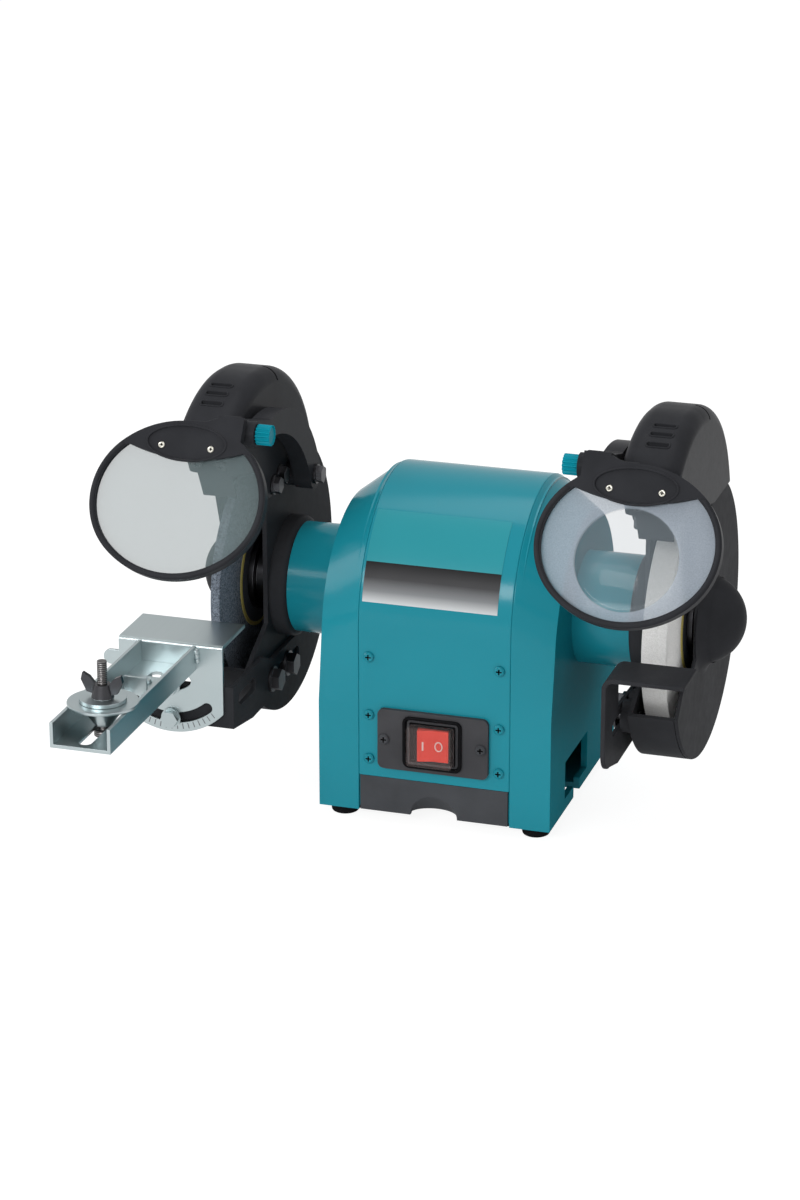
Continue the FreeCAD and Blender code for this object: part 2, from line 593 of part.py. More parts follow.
def housing_screws():
    """Screws of the wrap, the base plate and the switch plate, and the longer ones of the guards."""
    master = screw_master("small_screw_master", d.small_shank, d.small_head, d.small_head_tall,
        d.small_length)
    sides = [(sign * d.screw_across, height) for sign in (-1, 1) for height in SCREW_HEIGHTS]
    front = [(across, PANEL_FRONT, height) for across, height in sides]
    front += [(sign * d.plate_screw_across, PLATE_FRONT, d.switch_height) for sign in (-1, 1)]
    rear = [(across, HALF_DEPTH, height) for across, height in sides]
    below = [(across * d.base_screw_across, along * d.base_screw_along, BASE)
             for across in (-1, 1) for along in (-1, 1)]
    group("housing_screws", (master, front, ALONG_X, 90), (master, rear, ALONG_X, -90),
        (master, below, ALONG_X, 180))
    long_screw = screw_master("guard_screw_master", d.small_shank, d.small_head, d.small_head_tall,
                              PLATE_OUTER - BOSS_END + d.small_length - 1)
    reach = d.guard_screw_circle * 0.5 ** 0.5
    sets = []
    for side in SIDES.values():
        places = [(side * PLATE_OUTER, across * reach, AXIS + up * reach) for across in (-1, 1)
            for up in (-1, 1)]
        sets.append((long_screw, places, ALONG_Y, side * 90))
    group("guard_screws", *sets)


def coolant_tray():
    """Drawer with an open box behind a flush front that has a finger notch."""
    body = new_body("coolant_tray")
    half = HALF_WRAP - d.lip_width - d.tray_gap
    low = BASE + d.sheet + d.tray_gap
    front = PANEL_FRONT + d.sheet
    rear = front + d.tray_length
    top = low + d.tray_box_height
    slab(body, "Z", low, top, box_loop(-half, half, front, rear))
    cut(body, "Z", top, low + d.tray_wall,
        box_loop(-half + d.tray_wall, half - d.tray_wall, front + d.tray_wall, rear - d.tray_wall))
    wide, notch = d.tray_width / 2, d.tray_notch_width / 2
    rise = d.tray_notch_top - d.tray_bottom
    slab(body, "Y", front, PANEL_FRONT, [
        Corner(-wide, d.tray_bottom), Corner(-notch, d.tray_bottom),
        Corner(-notch + rise, d.tray_notch_top), Corner(notch - rise, d.tray_notch_top),
        Corner(notch, d.tray_bottom), Corner(wide, d.tray_bottom), Corner(wide, d.tray_top),
        Corner(-wide, d.tray_top)])


def switch():
    """Switch plate, switch body, rocker on an upright pivot and the clear boot over it."""
    mid = d.switch_height
    plate = new_body("switch_plate")
    wide, tall = d.plate_width / 2, d.plate_height / 2
    slab(plate, "Y", PANEL_FRONT, PLATE_FRONT,
        round_box_loop(-wide, wide, mid - tall, mid + tall, d.plate_corner))
    half, high = d.switch_width / 2, d.switch_tall / 2
    gap = d.bolt_gap
    window = box_loop(-half - gap, half + gap, mid - high - gap, mid + high + gap)
    rings = [Ring(sign * d.plate_screw_across, mid, d.small_shank + gap) for sign in (-1, 1)]
    cut(plate, "Y", PLATE_FRONT - 1, PANEL_FRONT + 1, window, *rings)

    body = new_body("switch_body")
    slab(body, "Y", SWITCH_FRONT, SWITCH_FRONT + d.switch_depth,
        box_loop(-half, half, mid - high, mid + high))
    slot_half = d.rocker_width / 2 + d.rocker_gap
    slot_high = d.rocker_tall / 2 + d.rocker_gap / 2
    pivot = SWITCH_FRONT + d.rocker_pivot_depth
    well = pivot + d.rocker_width * 0.4
    cut(body, "Y", SWITCH_FRONT, well, box_loop(-slot_half, slot_half, mid - slot_high, mid + slot_high))
    pin = d.rocker_pin
    slab(body, "Z", mid - slot_high - 1, mid + slot_high + 1, Ring(ZERO, pivot, pin))

    rocker = new_body("switch_rocker")
    wide, tall = d.rocker_width / 2, d.rocker_tall / 2
    proud = d.rocker_proud + d.rocker_pivot_depth
    slab(rocker, "Z", -tall, tall, [
        Corner(-wide * 0.6, wide * 0.3), Corner(-wide, -d.rocker_pivot_depth * 0.5), Corner(-wide, -proud),
        Corner(ZERO, -proud + 1.4), Corner(wide, -proud), Corner(wide, -d.rocker_pivot_depth * 0.5),
        Corner(wide * 0.6, wide * 0.3)])
    cut(rocker, "Z", -tall, tall, Ring(ZERO, ZERO, pin + d.running_fit))
    rocker.Placement = Placement(Vector(0, 0, 0), Rotation(Vector(0, 0, 1), -d.rocker_tilt.value))
    rocker.setExpression("Placement.Base.y", pivot.text)
    rocker.setExpression("Placement.Base.z", mid.text)
    rocker.setExpression("Placement.Rotation.Angle", d.rocker_tilt.text)

    boot = new_body("switch_boot")
    front = SWITCH_FRONT - d.boot_proud
    wall = d.boot_wall
    slab(boot, "Y", SWITCH_FRONT, front, round_box_loop(-half, half, mid - high, mid + high, d.boot_wall * 2))
    cut(boot, "Y", SWITCH_FRONT, front + wall,
        box_loop(-half + wall, half - wall, mid - high + wall, mid + high - wall))


def motor():
    """Stator with its windings, rotor, fan, capacitor and gland."""
    core = new_body("stator_core")
    half = d.stator_length / 2
    slab(core, "X", -half, half, Ring(ZERO, AXIS, d.stator_radius))
    cut(core, "X", -half, half, Ring(ZERO, AXIS, d.stator_bore))

    coil = new_body("coil_master")
    slab(coil, "X", half, half + d.winding_reach, Ring(ZERO, ZERO, d.winding_outer))
    cut(coil, "X", half, half + d.winding_reach, Ring(ZERO, ZERO, d.winding_inner))
    place = [(ZERO, ZERO, AXIS)]
    group("stator_windings", (coil, place, ALONG_Z, 0), (coil, place, ALONG_Z, 180))

    rotor = new_body("rotor_core")
    slab(rotor, "X", -half, half, Ring(ZERO, AXIS, d.stator_bore - d.air_gap))
    cut(rotor, "X", -half, half, Ring(ZERO, AXIS, d.rotor_seat))

    fan = new_body("cooling_fan")
    start, disc_end = -d.fan_place - d.fan_width, -d.fan_place - d.fan_width + d.fan_disc
    slab(fan, "X", start, disc_end, Ring(ZERO, AXIS, d.fan_radius))
    slab(fan, "X", start, -d.fan_place, Ring(ZERO, AXIS, d.fan_hub))
    blade_half = d.fan_blade / 2
    blade = slab(fan, "X", start, -d.fan_place,
                 box_loop(d.fan_hub - 1, d.fan_radius - 1, AXIS - blade_half, AXIS + blade_half))
    spin = sketch(fan, "Y", ZERO, [], (ZERO, AXIS))
    blades = fan.newObject("PartDesign::PolarPattern", "fan_blades")
    blades.Originals = [blade]
    blades.Axis = (spin, ["H_Axis"])
    blades.Angle = 360
    blades.Occurrences = 11
    fan.Tip = blades
    cut(fan, "X", start, -d.fan_place, Ring(ZERO, AXIS, d.shoulder_radius))

    capacitor = new_body("capacitor")
    floor = BASE + d.sheet
    centre = floor + d.clamp_wall + d.capacitor_radius
    long_half = d.capacitor_length / 2
    slab(capacitor, "X", -long_half, long_half, Ring(d.capacitor_along, centre, d.capacitor_radius))
    clamp = new_body("capacitor_clamp")
    clamp_half = d.clamp_width / 2
    hold = d.capacitor_radius + d.clamp_wall
    slab(clamp, "X", -clamp_half, clamp_half, Ring(d.capacitor_along, centre, hold))
    slab(clamp, "X", -clamp_half, clamp_half,
         box_loop(d.capacitor_along - hold - 8, d.capacitor_along, floor, floor + d.clamp_wall))
    cut(clamp, "X", -clamp_half, clamp_half, Ring(d.capacitor_along, centre, d.capacitor_radius + d.fit))

    gland = new_body("cord_gland")
    rear = HALF_DEPTH
    slab(gland, "Y", rear - d.gland_length / 2, rear + d.gland_length / 2,
         Ring(d.gland_across, d.gland_height, d.gland_radius))
    slab(gland, "Y", rear, rear + d.gland_lip, Ring(d.gland_across, d.gland_height, d.gland_flange))
    slab(gland, "Y", rear - d.sheet, rear - d.sheet - d.gland_lip,
         Ring(d.gland_across, d.gland_height, d.gland_flange))
    cut(gland, "Y", rear - d.gland_length / 2, rear + d.gland_length / 2,
        Ring(d.gland_across, d.gland_height, d.gland_bore))


def spindle():
    """One stepped shaft that carries the rotor, the fan and both wheels."""
    body = new_body("spindle")
    steps = [(d.rotor_seat_end, d.rotor_seat), (d.bearing_place, d.shoulder_radius),
             (d.arbor_start, d.bearing_inner), (d.arbor_end, d.arbor_radius)]
    right, previous = [], ZERO
    for place, radius in steps:
        right += [(previous, radius), (place, radius)]
        previous = place
    left = [(-place, radius) for place, radius in reversed(right)]
    outline = [(-d.arbor_end, ZERO)] + left[:-1] + right[1:] + [(d.arbor_end, ZERO)]
    turned(body, "X", (ZERO, AXIS), [Corner(*point) for point in outline])


def ring_piece(label, start, end, outer, inner, height=AXIS):
    """A plain ring about a line along X."""
    body = new_body(label)
    slab(body, "X", start, end, Ring(ZERO, height, outer))
    cut(body, "X", start, end, Ring(ZERO, height, inner))
    return body


def pair(label, master):
    """The same turned piece at both ends of the spindle, the left one turned to face the other way."""
    place = [(ZERO, ZERO, AXIS)]
    group(label, (master, place, ALONG_Z, 0), (master, place, ALONG_Z, 180))


def wheel_sets():
    """Bearings, flanges, paper blotters, wheels and nuts of both ends of the spindle."""
    bore = d.arbor_radius + d.running_fit
    pair("bearings", ring_piece("bearing_master", d.bearing_place, d.bearing_place + d.bearing_width,
        d.bearing_outer,
                                d.bearing_inner + d.running_fit, ZERO))
    blotters, inner_sets, outer_sets, nut_sets = [], [], [], []
    blotter = ring_piece("blotter_master", ZERO, d.blotter, d.blotter_radius, bore, ZERO)
    for name, side in SIDES.items():
        start, end = WHEELS[name]
        ring_piece(f"{name}_wheel", side * start, side * end, d.wheel_radius, bore)
        face, outer_start = start - d.blotter, end + d.blotter
        blotters += [(place, ZERO, AXIS) for place in ((face, end) if side > 0 else (-start, -outer_start))]
        flange = new_body(f"{name}_inner_flange_master")
        slab(flange, "X", face - d.flange_rim, face, Ring(ZERO, ZERO, d.flange_radius))
        if side < 0:
            spacer = face - d.flange_rim - d.spacer_width
            slab(flange, "X", spacer, face, Ring(ZERO, ZERO, d.spacer_radius))
        slab(flange, "X", d.arbor_start, face, Ring(ZERO, ZERO, d.flange_hub))
        cut(flange, "X", d.arbor_start, face, Ring(ZERO, ZERO, bore))
        turn = 0 if side > 0 else 180
        inner_sets.append((flange, [(ZERO, ZERO, AXIS)], ALONG_Z, turn))
        nut_start = outer_start + d.flange_rim
        outer = ring_piece(f"{name}_outer_flange_master", outer_start, nut_start, d.flange_radius, bore, ZERO)
        outer_sets.append((outer, [(ZERO, ZERO, AXIS)], ALONG_Z, turn))
        nut = new_body(f"{name}_spindle_nut_master")
        slab(nut, "X", nut_start, nut_start + d.nut_thick, hexagon_loop(ZERO, ZERO, d.nut_flats))
        cut(nut, "X", nut_start, nut_start + d.nut_thick, Ring(ZERO, ZERO, bore))
        nut_sets.append((nut, [(ZERO, ZERO, AXIS)], ALONG_Z, turn))
    group("blotters", (blotter, blotters, ALONG_X, 0))
    group("inner_flanges", *inner_sets)
    group("outer_flanges", *outer_sets)
    group("spindle_nuts", *nut_sets)


def on_guard(out, radius=None):
    """The height above or below the spindle of a point on the guard's rim at a distance out."""
    radius = radius or d.guard_radius
    return (radius * radius - out * out).root()


def guard(name, side):
    """Inner plate, hub ring and rim band of one wheel guard."""
    body = new_body(f"{name}_guard")
    radius = d.guard_radius
    lip_out = on_guard(d.lip_drop)
    slab(body, "X", side * BOSS_END, side * d.guard_inner, Ring(ZERO, AXIS, d.hub_radius))
    slab(body, "X", side * d.guard_inner, side * PLATE_OUTER, [
        Corner(-lip_out, AXIS - d.lip_drop, radius), Corner(ZERO, AXIS - radius, radius),
        Corner(radius, AXIS, radius), Corner(ZERO, AXIS + radius, radius),
        Corner(-d.mouth_top_out, AXIS + on_guard(d.mouth_top_out)),
        Corner(-d.mouth_top_out, AXIS - d.mouth_root_drop),
        Corner(-d.mouth_step_out, AXIS - d.mouth_step_drop)])
    inner = radius - d.guard_band
    share = inner / radius
    end_up = on_guard(d.band_end_out)
    slab(body, "X", side * d.guard_inner, side * COVER_INNER, [
        Corner(-lip_out, AXIS - d.lip_drop, radius), Corner(ZERO, AXIS - radius, radius),
        Corner(radius, AXIS, radius), Corner(d.band_end_out, AXIS + end_up),
        Corner(d.band_end_out * share, AXIS + end_up * share, -inner), Corner(inner, AXIS, -inner),
        Corner(ZERO, AXIS - inner, -inner), Corner(-lip_out * share, AXIS - d.lip_drop * share)])
    if side > 0:
        pads = [Ring(place, d.rest_slot_height, d.rest_pad_radius)
            for place in (d.rest_bolt_front, d.rest_bolt_rear)]
        for pad in pads:
            slab(body, "X", side * d.guard_inner, side * (d.rest_flange + d.rest_plate + d.slide_gap), pad)
        bolts = [(ring.across, ring.up) for ring in pads]
        start = d.rest_flange
    else:
        bolts = [(place, d.bracket_bolt_height) for place in (d.bracket_bolt_front, d.bracket_bolt_rear)]
        start = d.guard_inner
    cut(body, "X", side * BOSS_END, side * PLATE_OUTER, Ring(ZERO, AXIS, d.hub_bore))
    guard_holes(body, side, BOSS_END, PLATE_OUTER)
    cut(body, "X", side * start, side * PLATE_OUTER,
        *[Ring(*place, d.large_shank + d.bolt_gap) for place in bolts])
    mid_holes = [Ring(place[0], place[1], d.mid_shank + d.bolt_gap) for place in cap_bolt_places()]
    mid_holes.append(Ring(d.arm_foot_along, ARM_FOOT, d.mid_shank + d.bolt_gap))
    cut(body, "X", side * d.guard_inner, side * PLATE_OUTER, *mid_holes)


def cap_bolt_places():
    """The two bolts that hold a dust cap to its guard, as places along Y and Z."""
    return [(-d.cap_bolt_out - step * d.cap_bolt_step_out,
        (CAP_LOW - d.cap_bolt_drop) - step * d.cap_bolt_step_down)
            for step in (0, 1)]


def guard_cover(name, side):
    """Outer cover plate of one guard, with the dome over the spindle nut."""
    body = new_body(f"{name}_guard_cover")
    radius = d.guard_radius
    lip_out = on_guard(d.lip_drop)
    edge = -d.cover_edge_out
    slab(body, "X", side * COVER_INNER, side * d.guard_outer, [
        Corner(-lip_out, AXIS - d.lip_drop, radius), Corner(ZERO, AXIS - radius, radius),
        Corner(radius, AXIS, radius), Corner(ZERO, AXIS + radius, radius),
        Corner(-d.cover_top_out, AXIS + on_guard(d.cover_top_out)), Corner(edge, AXIS + d.cover_edge_rise),
        Corner(edge, AXIS - d.cover_edge_drop), Corner(-d.cover_step_out, AXIS - d.mouth_corner_drop),
        Corner(-d.mouth_corner_out, AXIS - d.mouth_corner_drop)])
    outer, inner = d.dome_radius, d.dome_radius - d.dome_wall
    step = COVER_INNER - d.dome_centre
    outer_rim = (outer * outer - step * step).root()
    inner_rim = (inner * inner - step * step).root()
    cut(body, "X", side * COVER_INNER, side * d.guard_outer, Ring(ZERO, AXIS, inner_rim))
    bend = side * outer
    turned(body, "X", (ZERO, AXIS), [
        Corner(side * COVER_INNER, inner_rim), Corner(side * COVER_INNER, outer_rim, -bend),
        Corner(side * (d.dome_centre + outer), ZERO),
        Corner(side * (d.dome_centre + inner), ZERO, side * inner)])


def cap_loop(inset, low):
    """Side view of a dust cap: steep back, round crown, long brow and a nose that leans back to the mouth."""
    return [
        Corner(d.cap_rear - inset, low, d.cap_sweep - inset), Corner(-d.cap_crown_out, d.cap_crown - inset,
            d.cap_sweep - inset),
        Corner(-d.cap_brow_out + inset * 0.4, CAP_BROW - inset, d.cap_nose_round),
        Corner(-d.cap_nose_out + inset, CAP_NOSE), Corner(-d.cap_mouth_out + inset * 1.14, CAP_MOUTH),
    ]


def cap_side(out):
    """Height of the lower edge of a cap's side at a distance out."""
    return CAP_LOW + (CAP_MOUTH - CAP_LOW) * (out - d.cap_side_out) / (d.cap_mouth_out - d.cap_side_out)


def dust_cap(name, side):
    """Plastic hood over the top of a guard, open below, with three vents in its brow."""
    body = new_body(f"{name}_dust_cap")
    start = d.guard_inner - d.cap_gap - d.cap_wall
    end = d.guard_outer + d.cap_gap + d.cap_wall
    low = CAP_LOW
    slab(body, "X", side * start, side * end, cap_loop(ZERO, low) + [Corner(-d.cap_side_out, low)])
    wall = d.cap_wall
    cut(body, "X", side * (start + wall), side * (end - wall),
        cap_loop(wall, low) + [Corner(-d.cap_mouth_out + wall, low)])
    round_cap(body, (side * (start + wall), side * (end - wall)), low, d.cap_inner_round)
    round_cap(body, (side * start, side * end), low, d.cap_round)
    ear_low, far = low - d.cap_ear_drop, d.cap_ear_out + d.cap_ear_flare
    ear = [Corner(-d.cap_ear_in, cap_side(d.cap_ear_in) + d.cap_ear_lap),
        Corner(-far, cap_side(far) + d.cap_ear_lap),
           Corner(-d.cap_ear_out, ear_low), Corner(-d.cap_ear_in, ear_low)]
    slab(body, "X", side * start, side * (start + d.cap_wall), ear)
    cut(body, "X", side * start, side * (start + d.cap_wall),
        *[Ring(*place, d.mid_shank + d.bolt_gap) for place in cap_bolt_places()])
    half = d.vent_width / 2
    count = int(d.vent_count.value)
    for step in range(count):
        out = -d.vent_first_out - step * d.vent_pitch_out
        thick = d.vent_height / 2
        cut(body, "Z", CAP_BROW - d.cap_wall * 2, d.cap_crown + 1,
            box_loop(side * d.vent_across - half, side * d.vent_across + half, out - thick, out + thick))
    arrester_holes(body, side)


def round_cap(body, faces, low, radius):
    """Round the edges of a cap's back, crown, brow and nose along both of its sides."""
    doc.recompute()
    base = body.Tip
    names = []
    for index, edge in enumerate(base.Shape.Edges, start=1):
        middle = edge.valueAt((edge.FirstParameter + edge.LastParameter) / 2)
        on_side = any(abs(vertex.X - face.value) < 1e-6 for face in faces for vertex in edge.Vertexes)
        along = abs(edge.Vertexes[0].X - edge.Vertexes[-1].X) < 1e-6
        lowest = CAP_MOUTH.value - (d.cap_mouth_out.value + middle.y) * 0.1
        above = middle.z > max(lowest, low.value + 5)
        if on_side and along and above:
            names.append(f"Edge{index}")
    rounding = body.newObject("PartDesign::Fillet", body.Name + "_round")
    rounding.Base = (base, names)
    rounding.setExpression("Radius", radius.text)
    doc.recompute()


def arrester_anchor():
    """The point inside the nose of a cap where the front of a spark arrester lies."""
    return d.cap_mouth_out - d.cap_wall * 1.14, CAP_MOUTH


def arrester_screw_places(side):
    """Where the two screws of a spark arrester meet the outside of the nose, one each side of the wheel."""
    centre = side * (PLATE_OUTER + COVER_INNER) / 2
    rise = d.arrester_screw_rise
    out = d.cap_mouth_out + rise * (d.cap_nose_out - d.cap_mouth_out) / (CAP_NOSE - CAP_MOUTH)
    return [(centre + sign * d.arrester_slot_across, -out, CAP_MOUTH + rise) for sign in (-1, 1)]


def arrester_holes(body, side):
    """Two screw holes through the nose of a cap, square to the spark arrester behind it."""
    reach = d.cap_wall * 2
    for across, along, up in arrester_screw_places(side):
        hole = body.newObject("PartDesign::SubtractiveCylinder", body.Name + "_nose_hole")
        hole.setExpression("Radius", (d.small_shank + d.bolt_gap).text)
        hole.setExpression("Height", (reach * 1.5).text)
        hole.Placement = Placement(Vector(0, 0, 0), Rotation(ALONG_X, 90 + d.arrester_slope.value))
        hole.setExpression("Placement.Base.x", across.text)
        hole.setExpression("Placement.Base.y", (along + reach * d.arrester_slope.cosine()).text)
        hole.setExpression("Placement.Base.z", (up + reach * d.arrester_slope.sine()).text)
        hole.setExpression("Placement.Rotation.Angle", (d.arrester_slope + 90).text)
        doc.recompute()


def spark_arrester(name, side):
    """Flat plate behind the nose of a cap, slotted so that it can be set towards the wheel."""
    body = new_body(f"{name}_spark_arrester")
    out, height = arrester_anchor()
    start = PLATE_OUTER + d.arrester_side
    end = COVER_INNER - d.arrester_side
    low = d.arrester_lift - d.arrester_length
    slab(body, "Y", d.fit, d.fit + d.arrester_thick,
         box_loop(side * start, side * end, low, d.arrester_lift))
    centre = side * (start + end) / 2
    radius = d.small_shank + d.bolt_gap * 2
    screw_up = d.arrester_screw_rise / d.arrester_slope.cosine()
    loops = []
    for sign in (-1, 1):
        across = centre + sign * d.arrester_slot_across
        top = screw_up + d.arrester_travel + d.arrester_slot_spare
        loops.append(box_loop(across - radius, across + radius, screw_up - radius, top + radius))
    cut(body, "Y", ZERO, d.fit * 2 + d.arrester_thick, *loops)
    hold_tilt(body, out, height, d.arrester_slope)


def shield_arm(name, side):
    """Curved arm from the guard up to the hinge of an eye shield."""
    body = new_body(f"{name}_shield_arm")
    start, end = side * d.arm_inner, side * (d.arm_inner + d.arm_thick)
    foot_y, foot_z, foot = d.arm_foot_along, ARM_FOOT, d.arm_foot_radius
    hinge_y, boss = -d.hinge_out, d.hinge_boss_radius
    slab(body, "X", start, end, [
        Corner(foot_y + foot, foot_z, d.arm_outer_sweep), Corner(-d.arm_bend_out, d.arm_bend_outer),
        Corner(hinge_y, d.hinge_height + boss), Corner(hinge_y, d.hinge_height - boss),
        Corner(-d.arm_bend_out, d.arm_bend_inner, -d.arm_inner_sweep), Corner(foot_y - foot, foot_z, foot),
        Corner(foot_y, foot_z - foot, foot)])
    slab(body, "X", side * (d.arm_inner - d.hinge_boss_reach), end, Ring(hinge_y, d.hinge_height, boss))
    slab(body, "X", end, side * d.guard_inner, Ring(foot_y, foot_z, d.arm_foot_boss))
    cut(body, "X", start, side * d.guard_inner, Ring(foot_y, foot_z, d.mid_shank + d.bolt_gap))
    cut(body, "X", side * (d.arm_inner - d.hinge_boss_reach), end,
        Ring(hinge_y, d.hinge_height, d.hinge_pin + d.pin_gap))


def shield_knob(name, side):
    """Clamp knob with its screw through the hinge."""
    body = new_body(f"{name}_shield_knob")
    boss_end = d.arm_inner - d.hinge_boss_reach
    lug_end = d.arm_inner + d.arm_thick + d.lug_gap + d.lug_thick
    radius, chamfer = d.knob_radius, d.knob_radius * 0.15
    start = boss_end - d.slide_gap
    turned(body, "X", (-d.hinge_out, d.hinge_height), [
        Corner(side * (start - d.knob_length), ZERO), Corner(side * (start - d.knob_length),
            radius - chamfer),
        Corner(side * (start - d.knob_length + chamfer), radius), Corner(side * (start - chamfer), radius),
        Corner(side * start, radius - chamfer), Corner(side * start, d.hinge_pin),
        Corner(side * lug_end, d.hinge_pin), Corner(side * lug_end, ZERO)])


def lens_loop(across, half_width, half_height):
    """Outline of a lens: three arcs of the oval, closed by a tab behind the brow."""
    up = -d.shield_drop
    places, flank, crown = oval_corners(across, up, half_width, half_height)
    tab, top = d.lens_tab_half, up + d.lens_tab_top
    spare = half_width - d.shield_half_width + d.shield_rim
    return [
        Corner(*places[0], crown), Corner(*places[1], flank), Corner(*places[2]),
        Corner(across + tab + spare, top + spare), Corner(across - tab - spare, top + spare),
        Corner(*places[3], flank),
    ]


def eye_shield(name, side):
    """Frame with brow, ear and hinge lug, and the lens in a rabbet at its back."""
    across, up = side * d.shield_across, -d.shield_drop
    front, back = -d.shield_front, -d.shield_front + d.shield_thick
    tilt = -d.shield_tilt
    frame = new_body(f"{name}_shield_frame")
    slab(frame, "Y", back, front, oval_loop(across, up, d.shield_half_width, d.shield_half_height))
    ear_low = -d.hinge_boss_radius * 2.6
    slab(frame, "Y", back, front, [
        Corner(side * d.ear_inner, ear_low), Corner(side * d.ear_inner, d.ear_top),
        Corner(side * (d.ear_inner + d.ear_flat), d.ear_top, side * d.ear_sweep),
        Corner(side * d.ear_outer, up + d.shield_half_height - d.ear_sink),
        Corner(side * d.ear_outer, ear_low)])
    lug_start = d.arm_inner + d.arm_thick + d.lug_gap
    lug = d.lug_radius
    slab(frame, "X", side * lug_start, side * (lug_start + d.lug_thick), [
        Corner(front, -lug), Corner(ZERO, -lug, lug), Corner(lug, ZERO, lug), Corner(ZERO, lug * 1.0),
        Corner(front, d.ear_top)])
    lap_half, lap_tall = d.shield_half_width - d.shield_rim, d.shield_half_height - d.shield_rim
    places, flank, crown = oval_corners(across, up, lap_half, lap_tall)
    half = lap_half * 0.5 ** 0.5
    brow = (half * half + d.brow_sag * d.brow_sag) / (2 * d.brow_sag)
    cut(frame, "Y", front - 1, back + 1, [
        Corner(*places[0], crown), Corner(*places[1], flank), Corner(*places[2], -brow),
        Corner(*places[3], flank)])
    lens_back = back - d.lens_gap
    cut(frame, "Y", back, lens_back - d.lens_thick - d.lens_gap,
        lens_loop(across, lap_half + d.lens_lap, lap_tall + d.lens_lap))
    recess = d.brow_recess_depth
    cut(frame, "Y", front, front + recess,
        oval_loop(across, up + d.brow_recess_rise, d.brow_recess_half, d.brow_recess_tall))
    screws = [(across + sign * d.lens_screw_across, up + d.lens_screw_rise) for sign in (-1, 1)]
    holes = [Ring(*place, d.lens_shank + d.bolt_gap) for place in screws]
    cut(frame, "Y", front, back, *holes)
    pin = Ring(ZERO, ZERO, d.hinge_pin + d.pin_gap)
    cut(frame, "X", side * lug_start, side * (lug_start + d.lug_thick), pin)
    hold_tilt(frame, d.hinge_out, d.hinge_height, tilt)

    lens = new_body(f"{name}_shield_lens")
    slim = d.lens_lap - d.lens_gap
    slab(lens, "Y", lens_back, lens_back - d.lens_thick, lens_loop(across, lap_half + slim, lap_tall + slim))
    if side > 0:
        magnifier(lens, across, up - d.magnifier_drop, lens_back - d.lens_thick)
    cut(lens, "Y", front, back, *holes)
    hold_tilt(lens, d.hinge_out, d.hinge_height, tilt)

    master = screw_master(f"{name}_lens_screw_master", d.lens_shank, d.lens_head, d.lens_head_tall,
        d.lens_screw_length)
    places = [(place[0], front + recess, place[1]) for place in screws]
    screws_group = group(f"{name}_shield_screws", (master, places, ALONG_X, 90))
    hold_tilt(screws_group, d.hinge_out, d.hinge_height, tilt)


def magnifier(lens, across, up, face):
    """Round bulge in front of the right lens: a cap of a sphere about a line square to the lens."""
    radius, bulge = d.magnifier_radius, d.magnifier_bulge
    sphere = (radius * radius + bulge * bulge) / (2 * bulge)
    drawing = sketch(lens, "Z", ZERO, [[
        Corner(ZERO, face + 0.5), Corner(ZERO, face - bulge, sphere), Corner(radius, face),
        Corner(radius, face + 0.5)]],
        (across, ZERO))
    drawing.setExpression("AttachmentOffset.Base.z", up.text)
    bump = lens.newObject("PartDesign::Revolution", "magnifier_bulge")
    bump.Profile = drawing
    bump.ReferenceAxis = (drawing, ["V_Axis"])
    bump.Angle = 360


def guard_bolts():
    """Bolts of the dust caps, the shield arms and the spark arresters of both guards."""
    cap_face = d.guard_inner - d.cap_gap - d.cap_wall
    short = bolt_master("cap_bolt_master", d.mid_shank, d.mid_flats, d.mid_head_tall, d.mid_washer,
                        PLATE_OUTER - cap_face + d.nut_reach)
    group("cap_bolts", *[(short, [(side * cap_face, *place) for place in cap_bolt_places()], ALONG_Y,
        -side * 90)
                         for side in SIDES.values()])
    long_bolt = bolt_master("arm_bolt_master", d.mid_shank, d.mid_flats, d.mid_head_tall, d.mid_washer,
                            PLATE_OUTER - d.arm_inner + d.nut_reach)
    group("arm_bolts", *[(long_bolt, [(side * d.arm_inner, d.arm_foot_along, ARM_FOOT)], ALONG_Y, -side * 90)
                         for side in SIDES.values()])
    screw = screw_master("arrester_screw_master", d.small_shank, d.small_head, d.small_head_tall,
        d.small_length + 2)
    places = [(across, along - d.bolt_gap, up)
              for side in SIDES.values() for across, along, up in arrester_screw_places(side)]
    group("arrester_screws", (screw, places, ALONG_X, 90 + d.arrester_slope.value))
    right = bolt_master("right_rest_bolt_master", d.large_shank, d.large_flats, d.large_head_tall,
        d.large_washer,
                        PLATE_OUTER - d.rest_flange + d.nut_reach)
    right_places = [(d.rest_flange - d.slide_gap, place, d.rest_slot_height)
                    for place in (d.rest_bolt_front, d.rest_bolt_rear)]
    left = bolt_master("left_rest_bolt_master", d.large_shank, d.large_flats, d.large_head_tall,
        d.large_washer,
                       d.guard_plate + d.bracket_plate + d.nut_reach)
    left_face = -d.guard_inner + d.bracket_plate + d.slide_gap
    left_places = [(left_face, place, d.bracket_bolt_height) for place in (d.bracket_bolt_front,
        d.bracket_bolt_rear)]
    group("rest_bolts", (right, right_places, ALONG_Y, -90), (left, left_places, ALONG_Y, 90))


